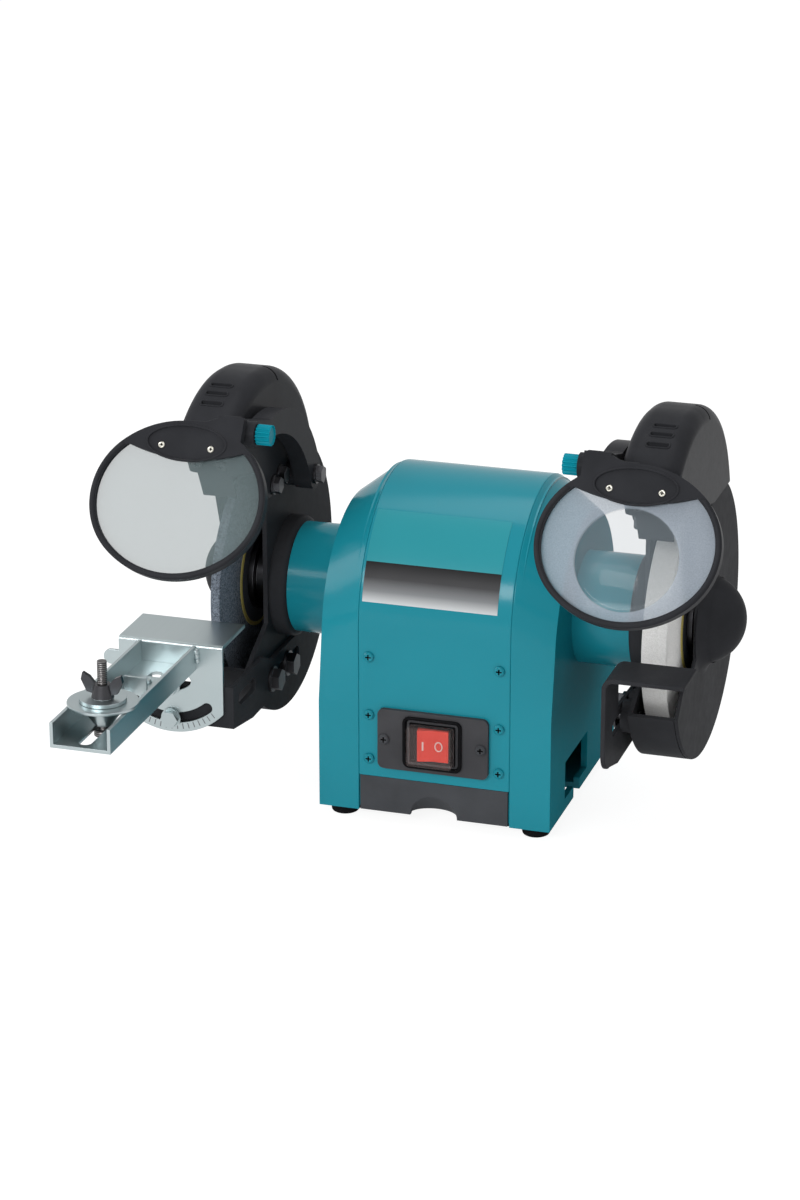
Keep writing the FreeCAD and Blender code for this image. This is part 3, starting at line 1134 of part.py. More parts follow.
def right_rest():
    """Bent plate: a table in front of the right wheel and a slotted flange on the guard."""
    body = new_body("right_rest")
    thick, flange = d.rest_plate, d.rest_flange
    low = REST_TAIL_TOP
    round_out = d.rest_start - flange
    slab(body, "Y", d.rest_front, d.rest_rear, [
        Corner(flange, low), Corner(flange + thick, low), Corner(flange + thick, d.rest_top - round_out,
            thick - round_out),
        Corner(d.rest_start, d.rest_top - thick), Corner(d.rest_end, d.rest_top - thick),
        Corner(d.rest_end, d.rest_top), Corner(d.rest_start, d.rest_top, round_out),
        Corner(flange, d.rest_top - round_out)])
    corner = d.rest_foot_round
    slab(body, "X", flange, flange + thick, [
        Corner(d.rest_front, d.rest_foot + corner * 1.4, corner),
        Corner(d.rest_front + corner, d.rest_foot + corner * 0.4),
        Corner(d.rest_front + corner * 2.5, d.rest_foot),
        Corner(d.rest_tail - corner, d.rest_foot, corner), Corner(d.rest_tail, d.rest_foot + corner),
        Corner(d.rest_tail, REST_TAIL_TOP), Corner(d.rest_rear, REST_TAIL_TOP + thick),
        Corner(d.rest_front, REST_TAIL_TOP + thick)])
    slot_end = d.rest_bolt_rear + d.rest_travel + d.bolt_gap
    cut(body, "X", flange, flange + thick,
        slot_loop(d.rest_slot_front, slot_end, d.rest_slot_height, d.rest_slot_radius))


def left_rest():
    """Slotted bracket on the left guard, tilting table with scale apron, channel, drill clamp and stop."""
    inner = -d.guard_inner
    thick = d.bracket_plate
    bracket = new_body("left_rest_bracket")
    slab(bracket, "X", inner, inner + thick, [
        Corner(d.bracket_front - thick, d.bracket_low), Corner(d.bracket_rear, d.bracket_low),
        Corner(d.bracket_rear, d.bracket_tail_top), Corner(d.bracket_neck_rear, d.bracket_tail_top),
        Corner(d.bracket_neck_front, d.bracket_top), Corner(d.bracket_front - thick, d.bracket_top)])
    slab(bracket, "Y", d.bracket_front, d.bracket_front - thick,
         box_loop(d.bracket_left, inner + thick, d.bracket_low, d.bracket_top))
    for place in (d.bracket_bolt_front, d.bracket_bolt_rear):
        cut(bracket, "X", inner, inner + thick,
            slot_loop(place, place + d.rest_travel, d.bracket_bolt_height, d.bracket_slot_radius))
    bolt_heights = [d.pivot_height - radius for radius in (d.upper_slot_radius, d.lower_slot_radius)]
    cut(bracket, "Y", d.bracket_front, d.bracket_front - thick,
        *[Ring(d.pivot_across, height, d.mid_shank + d.bolt_gap) for height in bolt_heights])

    apron_back = d.bracket_front - thick - d.slide_gap
    apron_front = apron_back - d.table_plate
    table = new_body("left_rest_table")
    slab(table, "Y", apron_back, apron_front, [
        Corner(d.table_left, d.apron_corner, d.apron_radius), Corner(d.table_right, d.apron_corner),
        Corner(d.table_right, d.table_top), Corner(d.table_left, d.table_top)])
    slab(table, "Z", d.table_top - d.table_plate, d.table_top,
         box_loop(d.table_left, d.table_right, apron_front, d.table_rear))
    slab(table, "Y", apron_back, apron_front,
         slot_loop(d.table_left - d.tab_reach, d.table_left + d.tab_radius, d.tab_height, d.tab_radius))
    for radius in (d.upper_slot_radius, d.lower_slot_radius):
        cut(table, "Y", apron_front - 1, apron_back + 1,
            arc_slot_loop(d.pivot_across, d.pivot_height, radius, d.arc_slot_half, d.arc_slot_angle))

    swivel = bolt_master("swivel_bolt_master", d.mid_shank, d.mid_flats, d.mid_head_tall, d.mid_washer,
                         d.table_plate + thick + d.nut_reach)
    places = [(d.pivot_across, apron_front - d.slide_gap, height) for height in bolt_heights]
    group("swivel_bolts", (swivel, places, ALONG_X, 90))

    channel = new_body("left_rest_channel")
    left, right = d.channel_across - d.channel_width / 2, d.channel_across + d.channel_width / 2
    low, top, wall = d.channel_low, d.channel_top, d.channel_plate
    slab(channel, "Y", apron_front, d.channel_front, [
        Corner(left, low), Corner(right, low), Corner(right, top), Corner(right - wall, top),
        Corner(right - wall, low + wall), Corner(left + wall, low + wall), Corner(left + wall, top),
        Corner(left, top)])
    half = d.channel_slot_half
    cut(channel, "Z", low, low + wall, [
        Corner(d.channel_across - half, d.channel_slot_front),
        Corner(d.channel_across, d.channel_slot_front - half, half),
        Corner(d.channel_across + half, d.channel_slot_front),
        Corner(d.channel_across + half, d.channel_slot_rear, half),
        Corner(d.channel_across, d.channel_slot_rear + half, half),
        Corner(d.channel_across - half, d.channel_slot_rear)][1:] + [
        Corner(d.channel_across - half, d.channel_slot_front, half)])
    drill_clamp()
    drill_stop()


def drill_clamp():
    """Stud in the channel's slot with a dished clamp, a washer and a wing nut."""
    centre = (d.channel_across, d.clamp_along)
    floor = d.channel_low
    gap = d.slide_gap
    dish_low = d.channel_top + gap
    dish_top = dish_low + d.dish_plate
    stud = new_body("clamp_stud")
    turned(stud, "Z", centre, [
        Corner(ZERO, floor - gap - 4), Corner(d.cone_foot_radius + 1, floor - gap - 4),
        Corner(d.cone_foot_radius + 1, floor - gap), Corner(d.clamp_stud, floor - gap),
        Corner(d.clamp_stud, d.clamp_stud_top), Corner(ZERO, d.clamp_stud_top)])
    hole = d.clamp_stud + d.running_fit
    dish = new_body("clamp_dish")
    foot = floor + d.channel_plate + gap
    turned(dish, "Z", centre, [
        Corner(hole, foot), Corner(d.cone_foot_radius, foot), Corner(d.cone_radius, dish_low),
        Corner(d.dish_radius, dish_low), Corner(d.dish_radius, dish_top), Corner(hole, dish_top)])
    nut = new_body("wing_nut")
    nut_low = dish_top + gap + d.washer_plate
    turned(nut, "Z", centre, [
        Corner(hole, nut_low - d.washer_plate), Corner(d.washer_radius, nut_low - d.washer_plate),
        Corner(d.washer_radius, nut_low), Corner(d.wing_hub, nut_low),
        Corner(d.wing_hub * 0.72, nut_low + d.wing_hub_tall), Corner(hole, nut_low + d.wing_hub_tall)])
    half = d.wing_plate / 2
    for sign in (-1, 1):
        near = centre[0] + sign * (hole + 0.8)
        slab(nut, "Y", centre[1] - half, centre[1] + half, [
            Corner(near, nut_low + 1.5), Corner(near + sign * d.wing_span * 0.45, nut_low + 3),
            Corner(centre[0] + sign * d.wing_span, nut_low + d.wing_rise * 0.7),
            Corner(centre[0] + sign * d.wing_span * 0.92, nut_low + d.wing_rise),
            Corner(centre[0] + sign * d.wing_span * 0.6, nut_low + d.wing_rise * 0.85),
            Corner(near, nut_low + d.wing_hub_tall * 0.9)])


def drill_stop():
    """Small bent stop in the channel and the screw that holds it in the slot."""
    floor = d.channel_low + d.channel_plate + d.slide_gap
    half = d.stop_width / 2
    stop = new_body("drill_stop")
    front = d.stop_along
    slab(stop, "Z", floor, floor + d.stop_plate,
         box_loop(d.channel_across - half, d.channel_across + half, front, front + d.stop_length))
    slab(stop, "Y", front, front + d.stop_plate,
         box_loop(d.channel_across - half, d.channel_across + half, floor, floor + d.stop_height))
    screw_along = front + d.stop_length * 0.6
    cut(stop, "Z", floor, floor + d.stop_plate,
        Ring(d.channel_across, screw_along, d.clamp_stud + d.bolt_gap))
    screw = new_body("stop_screw")
    low = d.channel_low - d.slide_gap
    top = floor + d.stop_plate
    turned(screw, "Z", (d.channel_across, screw_along), [
        Corner(ZERO, low - 3), Corner(d.cone_foot_radius, low - 3), Corner(d.cone_foot_radius, low),
        Corner(d.clamp_stud, low), Corner(d.clamp_stud, top), Corner(d.cone_foot_radius, top),
        Corner(d.cone_foot_radius * 0.8, top + 2.2), Corner(ZERO, top + 2.8)])


def build():
    wrap_cover()
    base_plate()
    rubber_feet()
    housing_screws()
    coolant_tray()
    switch()
    motor()
    spindle()
    wheel_sets()
    guard_bolts()
    for name, side in SIDES.items():
        end_frame(name, side)
        guard(name, side)
        guard_cover(name, side)
        dust_cap(name, side)
        spark_arrester(name, side)
        shield_arm(name, side)
        shield_knob(name, side)
        eye_shield(name, side)
    right_rest()
    left_rest()


def check_and_export():
    """Stop on any failed object, then write one file for each sub-part."""
    doc.recompute()
    failed = [item.Label for item in doc.Objects if "Invalid" in item.State or "Error" in item.State]
    if failed:
        raise RuntimeError(f"failed objects: {failed}")
    pieces = [item for item in doc.Objects
              if item.TypeId in ("PartDesign::Body", "Part::Compound") and not item.Label.endswith("_master")]
    for item in pieces:
        if item.Shape.isNull() or not item.Shape.isValid():
            raise RuntimeError(f"bad shape: {item.Label}")
    os.makedirs("parts", exist_ok=True)
    for item in pieces:
        item.Shape.exportStep(os.path.join("parts", item.Label + ".step"))
        print(item.Label, len(item.Shape.Solids), round(item.Shape.Volume))
    print(len(pieces), "nodes")


build()
check_and_export()
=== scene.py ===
"""Looks of a bench grinder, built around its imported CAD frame."""
import json
import logging
import math
from collections.abc import Callable, Iterator, Sequence
from contextlib import contextmanager
from dataclasses import dataclass, field
from enum import Enum
from functools import cached_property

import bmesh
import bpy
from mathutils import Euler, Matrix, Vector
from mathutils.bvhtree import BVHTree


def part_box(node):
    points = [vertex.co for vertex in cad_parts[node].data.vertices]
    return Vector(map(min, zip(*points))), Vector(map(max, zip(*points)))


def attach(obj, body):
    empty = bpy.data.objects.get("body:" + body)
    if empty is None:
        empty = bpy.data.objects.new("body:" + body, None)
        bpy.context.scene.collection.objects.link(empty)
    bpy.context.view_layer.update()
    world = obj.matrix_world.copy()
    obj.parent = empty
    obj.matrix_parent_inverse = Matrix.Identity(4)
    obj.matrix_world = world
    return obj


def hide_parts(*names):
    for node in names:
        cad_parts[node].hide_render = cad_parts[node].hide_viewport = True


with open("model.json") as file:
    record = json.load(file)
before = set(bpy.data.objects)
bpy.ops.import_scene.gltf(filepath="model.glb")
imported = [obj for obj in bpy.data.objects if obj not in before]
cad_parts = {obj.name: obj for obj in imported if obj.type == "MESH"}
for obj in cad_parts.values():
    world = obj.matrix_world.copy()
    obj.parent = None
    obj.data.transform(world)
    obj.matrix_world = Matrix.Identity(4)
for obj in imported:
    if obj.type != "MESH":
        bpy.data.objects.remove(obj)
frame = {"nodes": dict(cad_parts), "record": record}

LOG = logging.getLogger("bench_grinder")
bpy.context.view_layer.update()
MM = 0.001
# In millimetres: the spindle's height and where probes start, above and before the grinder.
AXIS_HEIGHT = 132.0
ABOVE = 400.0
BEFORE = -120.0
# The least share of a direction along an axis, the metres between doubles and the degrees of a flat area.
ALONG = 0.9
DOUBLE = 0.000002
FLAT = 0.2
SIGNS = (-1, 1)

Pair = tuple[float, float]
Point = tuple[float, float, float]
Colour = tuple[float, float, float]
Tones = tuple[Pair, Pair]
Piece = bpy.types.Object
Material = bpy.types.Material
Socket = bpy.types.NodeSocket
Test = Callable[[Vector, Vector], bool]

ORIGIN: Point = (0.0, 0.0, 0.0)
EVEN: Point = (1.0, 1.0, 1.0)
WHITE = (1.0, 1.0, 1.0, 1.0)


class Side(Enum):
    """The two ends of the spindle."""

    LEFT = -1
    RIGHT = 1

    @property
    def word(self) -> str:
        """The side's name as the CAD nodes use it."""
        return self.name.lower()


class Way(Enum):
    """The direction that a round primitive is turned to."""

    X = (0.0, math.pi / 2, 0.0)
    Y = (math.pi / 2, 0.0, 0.0)


class Kind(Enum):
    """The parts of a mesh that are selected."""

    VERTS = "VERT"
    EDGES = "EDGE"
    FACES = "FACE"


def metres(point: Sequence[float]) -> list[float]:
    """A point in millimetres as metres."""
    return [value * MM for value in point]


def near(value: float, target: float, slack: float = 0.1) -> bool:
    """Whether a value lies within a slack of its target."""
    return abs(value - target) < slack


def from_axis(at: Vector) -> float:
    """A point's distance from the spindle's axis."""
    return math.hypot(at.y, at.z - AXIS_HEIGHT)


def rgba(colour: Colour, share: float = 1.0) -> tuple[float, float, float, float]:
    """A colour with its alpha, lightened or darkened by a share."""
    return (*[min(1.0, channel * share) for channel in colour], 1.0)


class Graph:
    """The node tree of a material or a world, with short calls for its nodes and links."""

    def __init__(self, name: str, world: bool = False) -> None:
        """Start an empty tree.

        Args:
            name: the name of the material or world.
            world: whether it is a world.
        """
        self.owner = (bpy.data.worlds if world else bpy.data.materials).new(name)
        self.owner.use_nodes = True
        self.tree = self.owner.node_tree
        self.tree.nodes.clear()
        self.output = self.node("OutputWorld" if world else "OutputMaterial")

    @cached_property
    def place(self) -> Socket:
        """The object coordinates, in metres."""
        return self.node("TexCoord").outputs["Object"]

    def node(self, kind: str, inputs: dict | None = None, **settings: object) -> bpy.types.Node:
        """Add a shader node.

        Args:
            kind: the node's type without its usual prefix.
            inputs: values or sockets for its inputs, by name or index.
            **settings: the node's own properties.

        Returns:
            The new node.
        """
        made = self.tree.nodes.new("ShaderNode" + kind)
        for key, value in settings.items():
            setattr(made, key, value)
        for key, value in (inputs or {}).items():
            if isinstance(value, Socket):
                self.tree.links.new(value, made.inputs[key])
            else:
                made.inputs[key].default_value = value
        return made

    def math(self, operation: str, *values: object) -> Socket:
        """The result of an operation on numbers or sockets."""
        return self.node("Math", dict(enumerate(values)), operation=operation).outputs[0]

    def axis(self, name: str) -> Socket:
        """One of the X, Y and Z object coordinates, in metres."""
        return self.node("SeparateXYZ", {0: self.place}).outputs[name]

    def reach(self, first: Socket, second: Socket) -> Socket:
        """The length of a line from its two sides."""
        squares = [self.math("MULTIPLY", side, side) for side in (first, second)]
        return self.math("SQRT", self.math("ADD", *squares))

    def noise(self, scale: float, detail: float, stretch: Point = EVEN) -> Socket:
        """A noise of 0 to 1, from its features per metre, its octaves and a scale for each axis."""
        place = self.node("Mapping", {"Vector": self.place, "Scale": stretch}).outputs[0]
        return self.node("TexNoise", {"Vector": place, "Scale": scale, "Detail": detail}).outputs[0]

    def cells(self, scale: float) -> bpy.types.Node:
        """A node of packed cells, from their count per metre."""
        return self.node("TexVoronoi", {"Vector": self.place, "Scale": scale})

    def ramp(self, value: Socket, stops: Sequence[tuple[float, Sequence[float]]]) -> Socket:
        """Colours along a value.

        Args:
            value: the value's socket.
            stops: places and colours.

        Returns:
            The colour's socket.
        """
        made = self.node("ValToRGB", {0: value})
        bar = made.color_ramp.elements
        while len(bar) < len(stops):
            bar.new(0.5)
        for element, (place, colour) in zip(bar, stops):
            element.position = place
            element.color = (*colour[:3], 1.0)
        return made.outputs[0]

    def shades(self, value: Socket, colour: Colour, tones: Sequence[Pair]) -> Socket:
        """Shares of one colour along a value, each with its place."""
        return self.ramp(value, [(place, rgba(colour, share)) for place, share in tones])

    def span(self, value: Socket, low: float, high: float) -> Socket:
        """A value of 0 to 1 moved to another range."""
        return self.node("MapRange", {0: value, 3: low, 4: high}).outputs[0]

    def between(self, value: Socket, low: float, high: float) -> Socket:
        """Where a value lies between two limits, from 0 to 1."""
        return self.node("MapRange", {0: value, 1: low, 2: high}).outputs[0]

    def mix(self, share: object, first: object, second: object) -> Socket:
        """Two colours mixed by a share."""
        return self.node("Mix", {0: share, 6: first, 7: second}, data_type="RGBA").outputs[2]

    def bump(self, height: Socket, depth: float, strength: float) -> Socket:
        """A normal from a height of 0 to 1, its depth in metres and its strength."""
        return self.node("Bump", {"Height": height, "Distance": depth, "Strength": strength}).outputs[0]

    def surface(self, **inputs: object) -> Material:
        """Close a material with a principled shader.

        Args:
            **inputs: its inputs, with spaces written as underscores.

        Returns:
            The finished material.
        """
        spaced = {key.replace("_", " "): value for key, value in inputs.items()}
        return self.close(self.node("BsdfPrincipled", spaced))

    def close(self, shader: bpy.types.Node) -> Material | bpy.types.World:
        """Link the last shader to the output and give the finished material or world."""
        self.tree.links.new(shader.outputs[0], self.output.inputs[0])
        return self.owner


@dataclass(frozen=True)
class Coat:
    """An even coat with a clouded colour, an uneven gloss and a fine relief.

    cloud, patch and grain are a noise's scale and detail, tones are places with shares of the colour,
    and spread is the roughness at its two ends.
    """

    name: str
    colour: Colour
    rough: float
    relief: float
    index: float
    cloud: Pair
    tones: Tones
    patch: Pair
    strength: float
    spread: Pair = (0.85, 1.2)
    grain: Pair = (380.0, 1.0)

    def height(self, graph: Graph) -> Socket:
        """The relief, from 0 to 1."""
        return graph.noise(*self.grain)

    def material(self) -> Material:
        """Build the coat.

        Returns:
            The finished material.
        """
        graph = Graph(self.name)
        colour = graph.shades(graph.noise(*self.cloud), self.colour, self.tones)
        rough = graph.span(graph.noise(*self.patch), *[self.rough * share for share in self.spread])
        normal = graph.bump(self.height(graph), self.relief, self.strength)
        return graph.surface(Base_Color=colour, Roughness=rough, Normal=normal, IOR=self.index)


@dataclass(frozen=True)
class GlossPaint(Coat):
    """Stoved enamel over metal: even colour, a trace of orange peel and a clear gloss."""

    rough: float = 0.16
    relief: float = 0.00004
    index: float = 1.3
    cloud: Pair = (9.0, 2.0)
    tones: Tones = ((0.3, 0.95), (0.7, 1.05))
    patch: Pair = (420.0, 2.0)
    strength: float = 0.25


@dataclass(frozen=True)
class PowderCoat(Coat):
    """Powder coat: satin, with a fine pebbled skin and paler rubbed flecks."""

    rough: float = 0.42
    relief: float = 0.00005
    index: float = 1.06
    cloud: Pair = (30.0, 4.0)
    tones: Tones = ((0.3, 0.85), (0.75, 1.2))
    patch: Pair = (160.0, 3.0)
    strength: float = 0.35
    grain: Pair = (1500.0, 2.0)


@dataclass(frozen=True)
class MouldedPlastic(Coat):
    """Moulded plastic with the cells of a spark-eroded mould."""

    rough: float = 0.45
    relief: float = 0.00004
    index: float = 1.12
    cloud: Pair = (45.0, 3.0)
    tones: Tones = ((0.3, 0.9), (0.7, 1.12))
    patch: Pair = (240.0, 3.0)
    strength: float = 0.3
    spread: Pair = (0.88, 1.15)
    cells: float = 1900.0

    def height(self, graph: Graph) -> Socket:
        """The cells' height, from 0 to 1."""
        return graph.cells(self.cells).outputs[0]


@dataclass(frozen=True)
class Plated:
    """Bare or plated metal: brushed streaks along one way and faint cloudy passivation."""

    name: str
    colour: Colour
    rough: float = 0.3
    stretch: Point = (1.0, 0.06, 1.0)
    tint: Colour = (0.36, 0.46, 0.48)
    share: float = 0.5
    brush: Pair = (520.0, 3.0)
    cloud: Pair = (16.0, 3.0)
    spread: Pair = (0.85, 1.2)
    relief: Pair = (0.00002, 0.15)

    def worked(self, graph: Graph, streak: Socket, colour: Socket) -> tuple[Socket, Socket]:
        """The colour and the normal of the worked surface, from its streaks and its plain colour."""
        return colour, graph.bump(streak, *self.relief)

    def material(self) -> Material:
        """Build the metal.

        Returns:
            The finished material.
        """
        graph = Graph(self.name)
        streak = graph.noise(*self.brush, self.stretch)
        cloud = graph.span(graph.noise(*self.cloud), 0.0, self.share)
        plain = graph.mix(cloud, rgba(self.colour), rgba(self.tint))
        colour, normal = self.worked(graph, streak, plain)
        rough = graph.span(streak, *[self.rough * share for share in self.spread])
        return graph.surface(Base_Color=colour, Metallic=1.0, Roughness=rough, Normal=normal)


@dataclass(frozen=True)
class Scale(Plated):
    """Plated metal with a stamped scale of degrees about a pivot."""

    relief: Pair = (0.00006, 0.25)
    brushed: float = 0.3
    pivot: Pair = (-163.0, 110.0)
    inner: float = 41.6
    outer: float = 45.4
    step: float = 5.0
    line: float = 0.42
    sweep: float = 41.0
    face: float = -119.9
    ink: Colour = (0.17, 0.18, 0.19)

    def worked(self, graph: Graph, streak: Socket, colour: Socket) -> tuple[Socket, Socket]:
        """The colour and the normal with the scale's lines.

        Args:
            graph: the material's tree.
            streak: the brushed streaks.
            colour: the plain colour.

        Returns:
            The colour and the normal.
        """
        across = graph.math("SUBTRACT", graph.axis("X"), self.pivot[0] * MM)
        down = graph.math("SUBTRACT", self.pivot[1] * MM, graph.axis("Z"))
        reach = graph.reach(across, down)
        angle = graph.math("DEGREES", graph.math("ARCTAN2", across, down))
        half = self.step / 2
        turned = graph.math("MODULO", graph.math("ADD", angle, 360.0 + half), self.step)
        beat = graph.math("ABSOLUTE", graph.math("SUBTRACT", turned, half))
        mark = graph.math("GREATER_THAN", reach, self.inner * MM)
        for value, limit in ((reach, self.outer * MM), (beat, self.line), (graph.axis("Y"), self.face * MM),
                             (graph.math("ABSOLUTE", angle), self.sweep)):
            mark = graph.math("MULTIPLY", mark, graph.math("LESS_THAN", value, limit))
        height = graph.math("SUBTRACT", graph.math("MULTIPLY", streak, self.brushed), mark)
        return graph.mix(mark, colour, rgba(self.ink)), graph.bump(height, *self.relief)


@dataclass(frozen=True)
class Thread(Plated):
    """Dark metal with the rings of a screw thread along Z, and painted shade in the thread's grooves."""

    relief: Pair = (0.0004, 0.8)
    pitch: float = 1.25
    # The share of the tint left in the grooves' painted shade.
    shade: float = 0.12

    def worked(self, graph: Graph, streak: Socket, colour: Socket) -> tuple[Socket, Socket]:
        """The colour with painted shade in the thread's grooves, and the normal with its rings.

        Args:
            graph: the material's tree.
            streak: the brushed streaks.
            colour: the plain colour.

        Returns:
            The colour and the normal.
        """
        half = self.pitch * MM / 2
        ring = graph.math("DIVIDE", graph.math("PINGPONG", graph.axis("Z"), half), half)
        # The colour darkens towards the grooves as painted shade.
        return graph.mix(ring, rgba(self.tint, self.shade), colour), graph.bump(ring, *self.relief)


@dataclass(frozen=True)
class Abrasive:
    """Bonded abrasive: packed grains of two tones with open pores."""

    name: str
    light: Colour
    dark: Colour
    grain: float = 1600.0
    pore: float = 0.00035
    cloud: Pair = (0.3, 4.0)
    stops: Pair = (0.25, 0.7)
    strength: float = 0.7
    rough: float = 0.95
    gloss: float = 0.25

    def material(self) -> Material:
        """Build the stone.

        Returns:
            The finished material.
        """
        graph = Graph(self.name)
        cells = graph.cells(self.grain).outputs
        speck = graph.node("SeparateColor", {0: cells["Color"]}).outputs[0]
        cloud = graph.noise(self.grain * self.cloud[0], self.cloud[1])
        share = graph.math("MULTIPLY", graph.math("ADD", speck, cloud), 0.5)
        colour = graph.ramp(share, list(zip(self.stops, (self.dark, self.light))))
        normal = graph.bump(graph.math("ADD", cells["Distance"], cloud), self.pore, self.strength)
        return graph.surface(Base_Color=colour, Roughness=self.rough, Normal=normal,
                             Specular_IOR_Level=self.gloss)


@dataclass(frozen=True)
class Paper:
    """Blotter paper: a fibrous disc with a printed rim on both wheels."""

    name: str
    colour: Colour
    rim: Colour
    start: float = 33.4
    fibre: Pair = (700.0, 5.0)
    tones: Tones = ((0.3, 0.8), (0.7, 1.1))
    relief: Pair = (0.00006, 0.5)
    rough: float = 0.85

    def material(self) -> Material:
        """Build the paper.

        Returns:
            The finished material.
        """
        graph = Graph(self.name)
        up = graph.math("SUBTRACT", graph.axis("Z"), AXIS_HEIGHT * MM)
        edge = graph.math("GREATER_THAN", graph.reach(graph.axis("Y"), up), self.start * MM)
        fibre = graph.noise(*self.fibre)
        colour = graph.mix(edge, graph.shades(fibre, self.colour, self.tones), rgba(self.rim))
        return graph.surface(Base_Color=colour, Roughness=self.rough, Normal=graph.bump(fibre, *self.relief))


@dataclass(frozen=True)
class ClearSheet:
    """Clear moulded sheet that lets most light through and keeps a hard reflection."""

    name: str
    colour: Colour
    cover: float
    rough: float = 0.03
    cloud: Pair = (14.0, 2.0)
    tones: Tones = ((0.3, 0.97), (0.7, 1.03))
    wave: Pair = (40.0, 1.0)
    relief: Pair = (0.00004, 0.15)
    gloss: float = 0.3

    def material(self) -> Material:
        """Build the sheet.

        Returns:
            The finished material.
        """
        graph = Graph(self.name)
        colour = graph.shades(graph.noise(*self.cloud), self.colour, self.tones)
        normal = graph.bump(graph.noise(*self.wave), *self.relief)
        return graph.surface(Base_Color=colour, Roughness=self.rough, Alpha=self.cover, Normal=normal,
                             Specular_IOR_Level=self.gloss)


@dataclass(frozen=True)
class FrostedLens:
    """Frosted sheet with a clear polished magnifier let into it.

    cover and rough give the clear part's value and then the frosted part's.
    """

    name: str
    colour: Colour
    centre: Point
    radius: float
    edge: float = 0.4
    clear: Colour = (0.30, 0.36, 0.40)
    speck: Pair = (1400.0, 3.0)
    tones: Tones = ((0.3, 0.86), (0.75, 1.12))
    cover: Pair = (0.2, 0.55)
    rough: Pair = (0.05, 0.5)
    relief: Pair = (0.00006, 0.4)
    gloss: float = 0.35

    def material(self) -> Material:
        """Build the sheet.

        Returns:
            The finished material.
        """
        graph = Graph(self.name)
        away = graph.node("VectorMath", {0: graph.place, 1: metres(self.centre)}, operation="DISTANCE")
        inner, outer = [(self.radius + sign * self.edge) * MM for sign in SIGNS]
        frost = graph.between(away.outputs["Value"], inner, outer)
        speck = graph.noise(*self.speck)
        colour = graph.mix(frost, rgba(self.clear), graph.shades(speck, self.colour, self.tones))
        normal = graph.bump(graph.math("MULTIPLY", speck, frost), *self.relief)
        rough, cover = [graph.span(frost, *pair) for pair in (self.rough, self.cover)]
        return graph.surface(Base_Color=colour, Roughness=rough, Alpha=cover, Normal=normal,
                             Specular_IOR_Level=self.gloss)


@dataclass(frozen=True)
class FadedPlate:
    """A bare name plate: dark satin at its top edge, with a painted highlight that lightens it to pale metal
    grey towards its lower edge.
    """

    name: str
    low: float
    high: float
    # From the lower edge up: the painted highlight at the bottom darkens to the plate's own near-black at
    # the top.
    stops: tuple[tuple[float, Colour], ...] = (
        (0.0, (0.66, 0.68, 0.69)), (0.3, (0.22, 0.23, 0.24)), (0.62, (0.03, 0.03, 0.033)),
        (1.0, (0.006, 0.006, 0.007)))
    brush: Pair = (1200.0, 3.0)
    stretch: Point = (0.04, 1.0, 1.0)
    rough: Pair = (0.3, 0.42)
    relief: Pair = (0.00002, 0.2)
    gloss: float = 0.15

    def material(self) -> Material:
        """Build the plate.

        Returns:
            The finished material.
        """
        graph = Graph(self.name)
        colour = graph.ramp(graph.between(graph.axis("Z"), self.low * MM, self.high * MM), self.stops)
        streak = graph.noise(*self.brush, self.stretch)
        return graph.surface(Base_Color=colour, Roughness=graph.span(streak, *self.rough),
                             Normal=graph.bump(streak, *self.relief), Specular_IOR_Level=self.gloss)


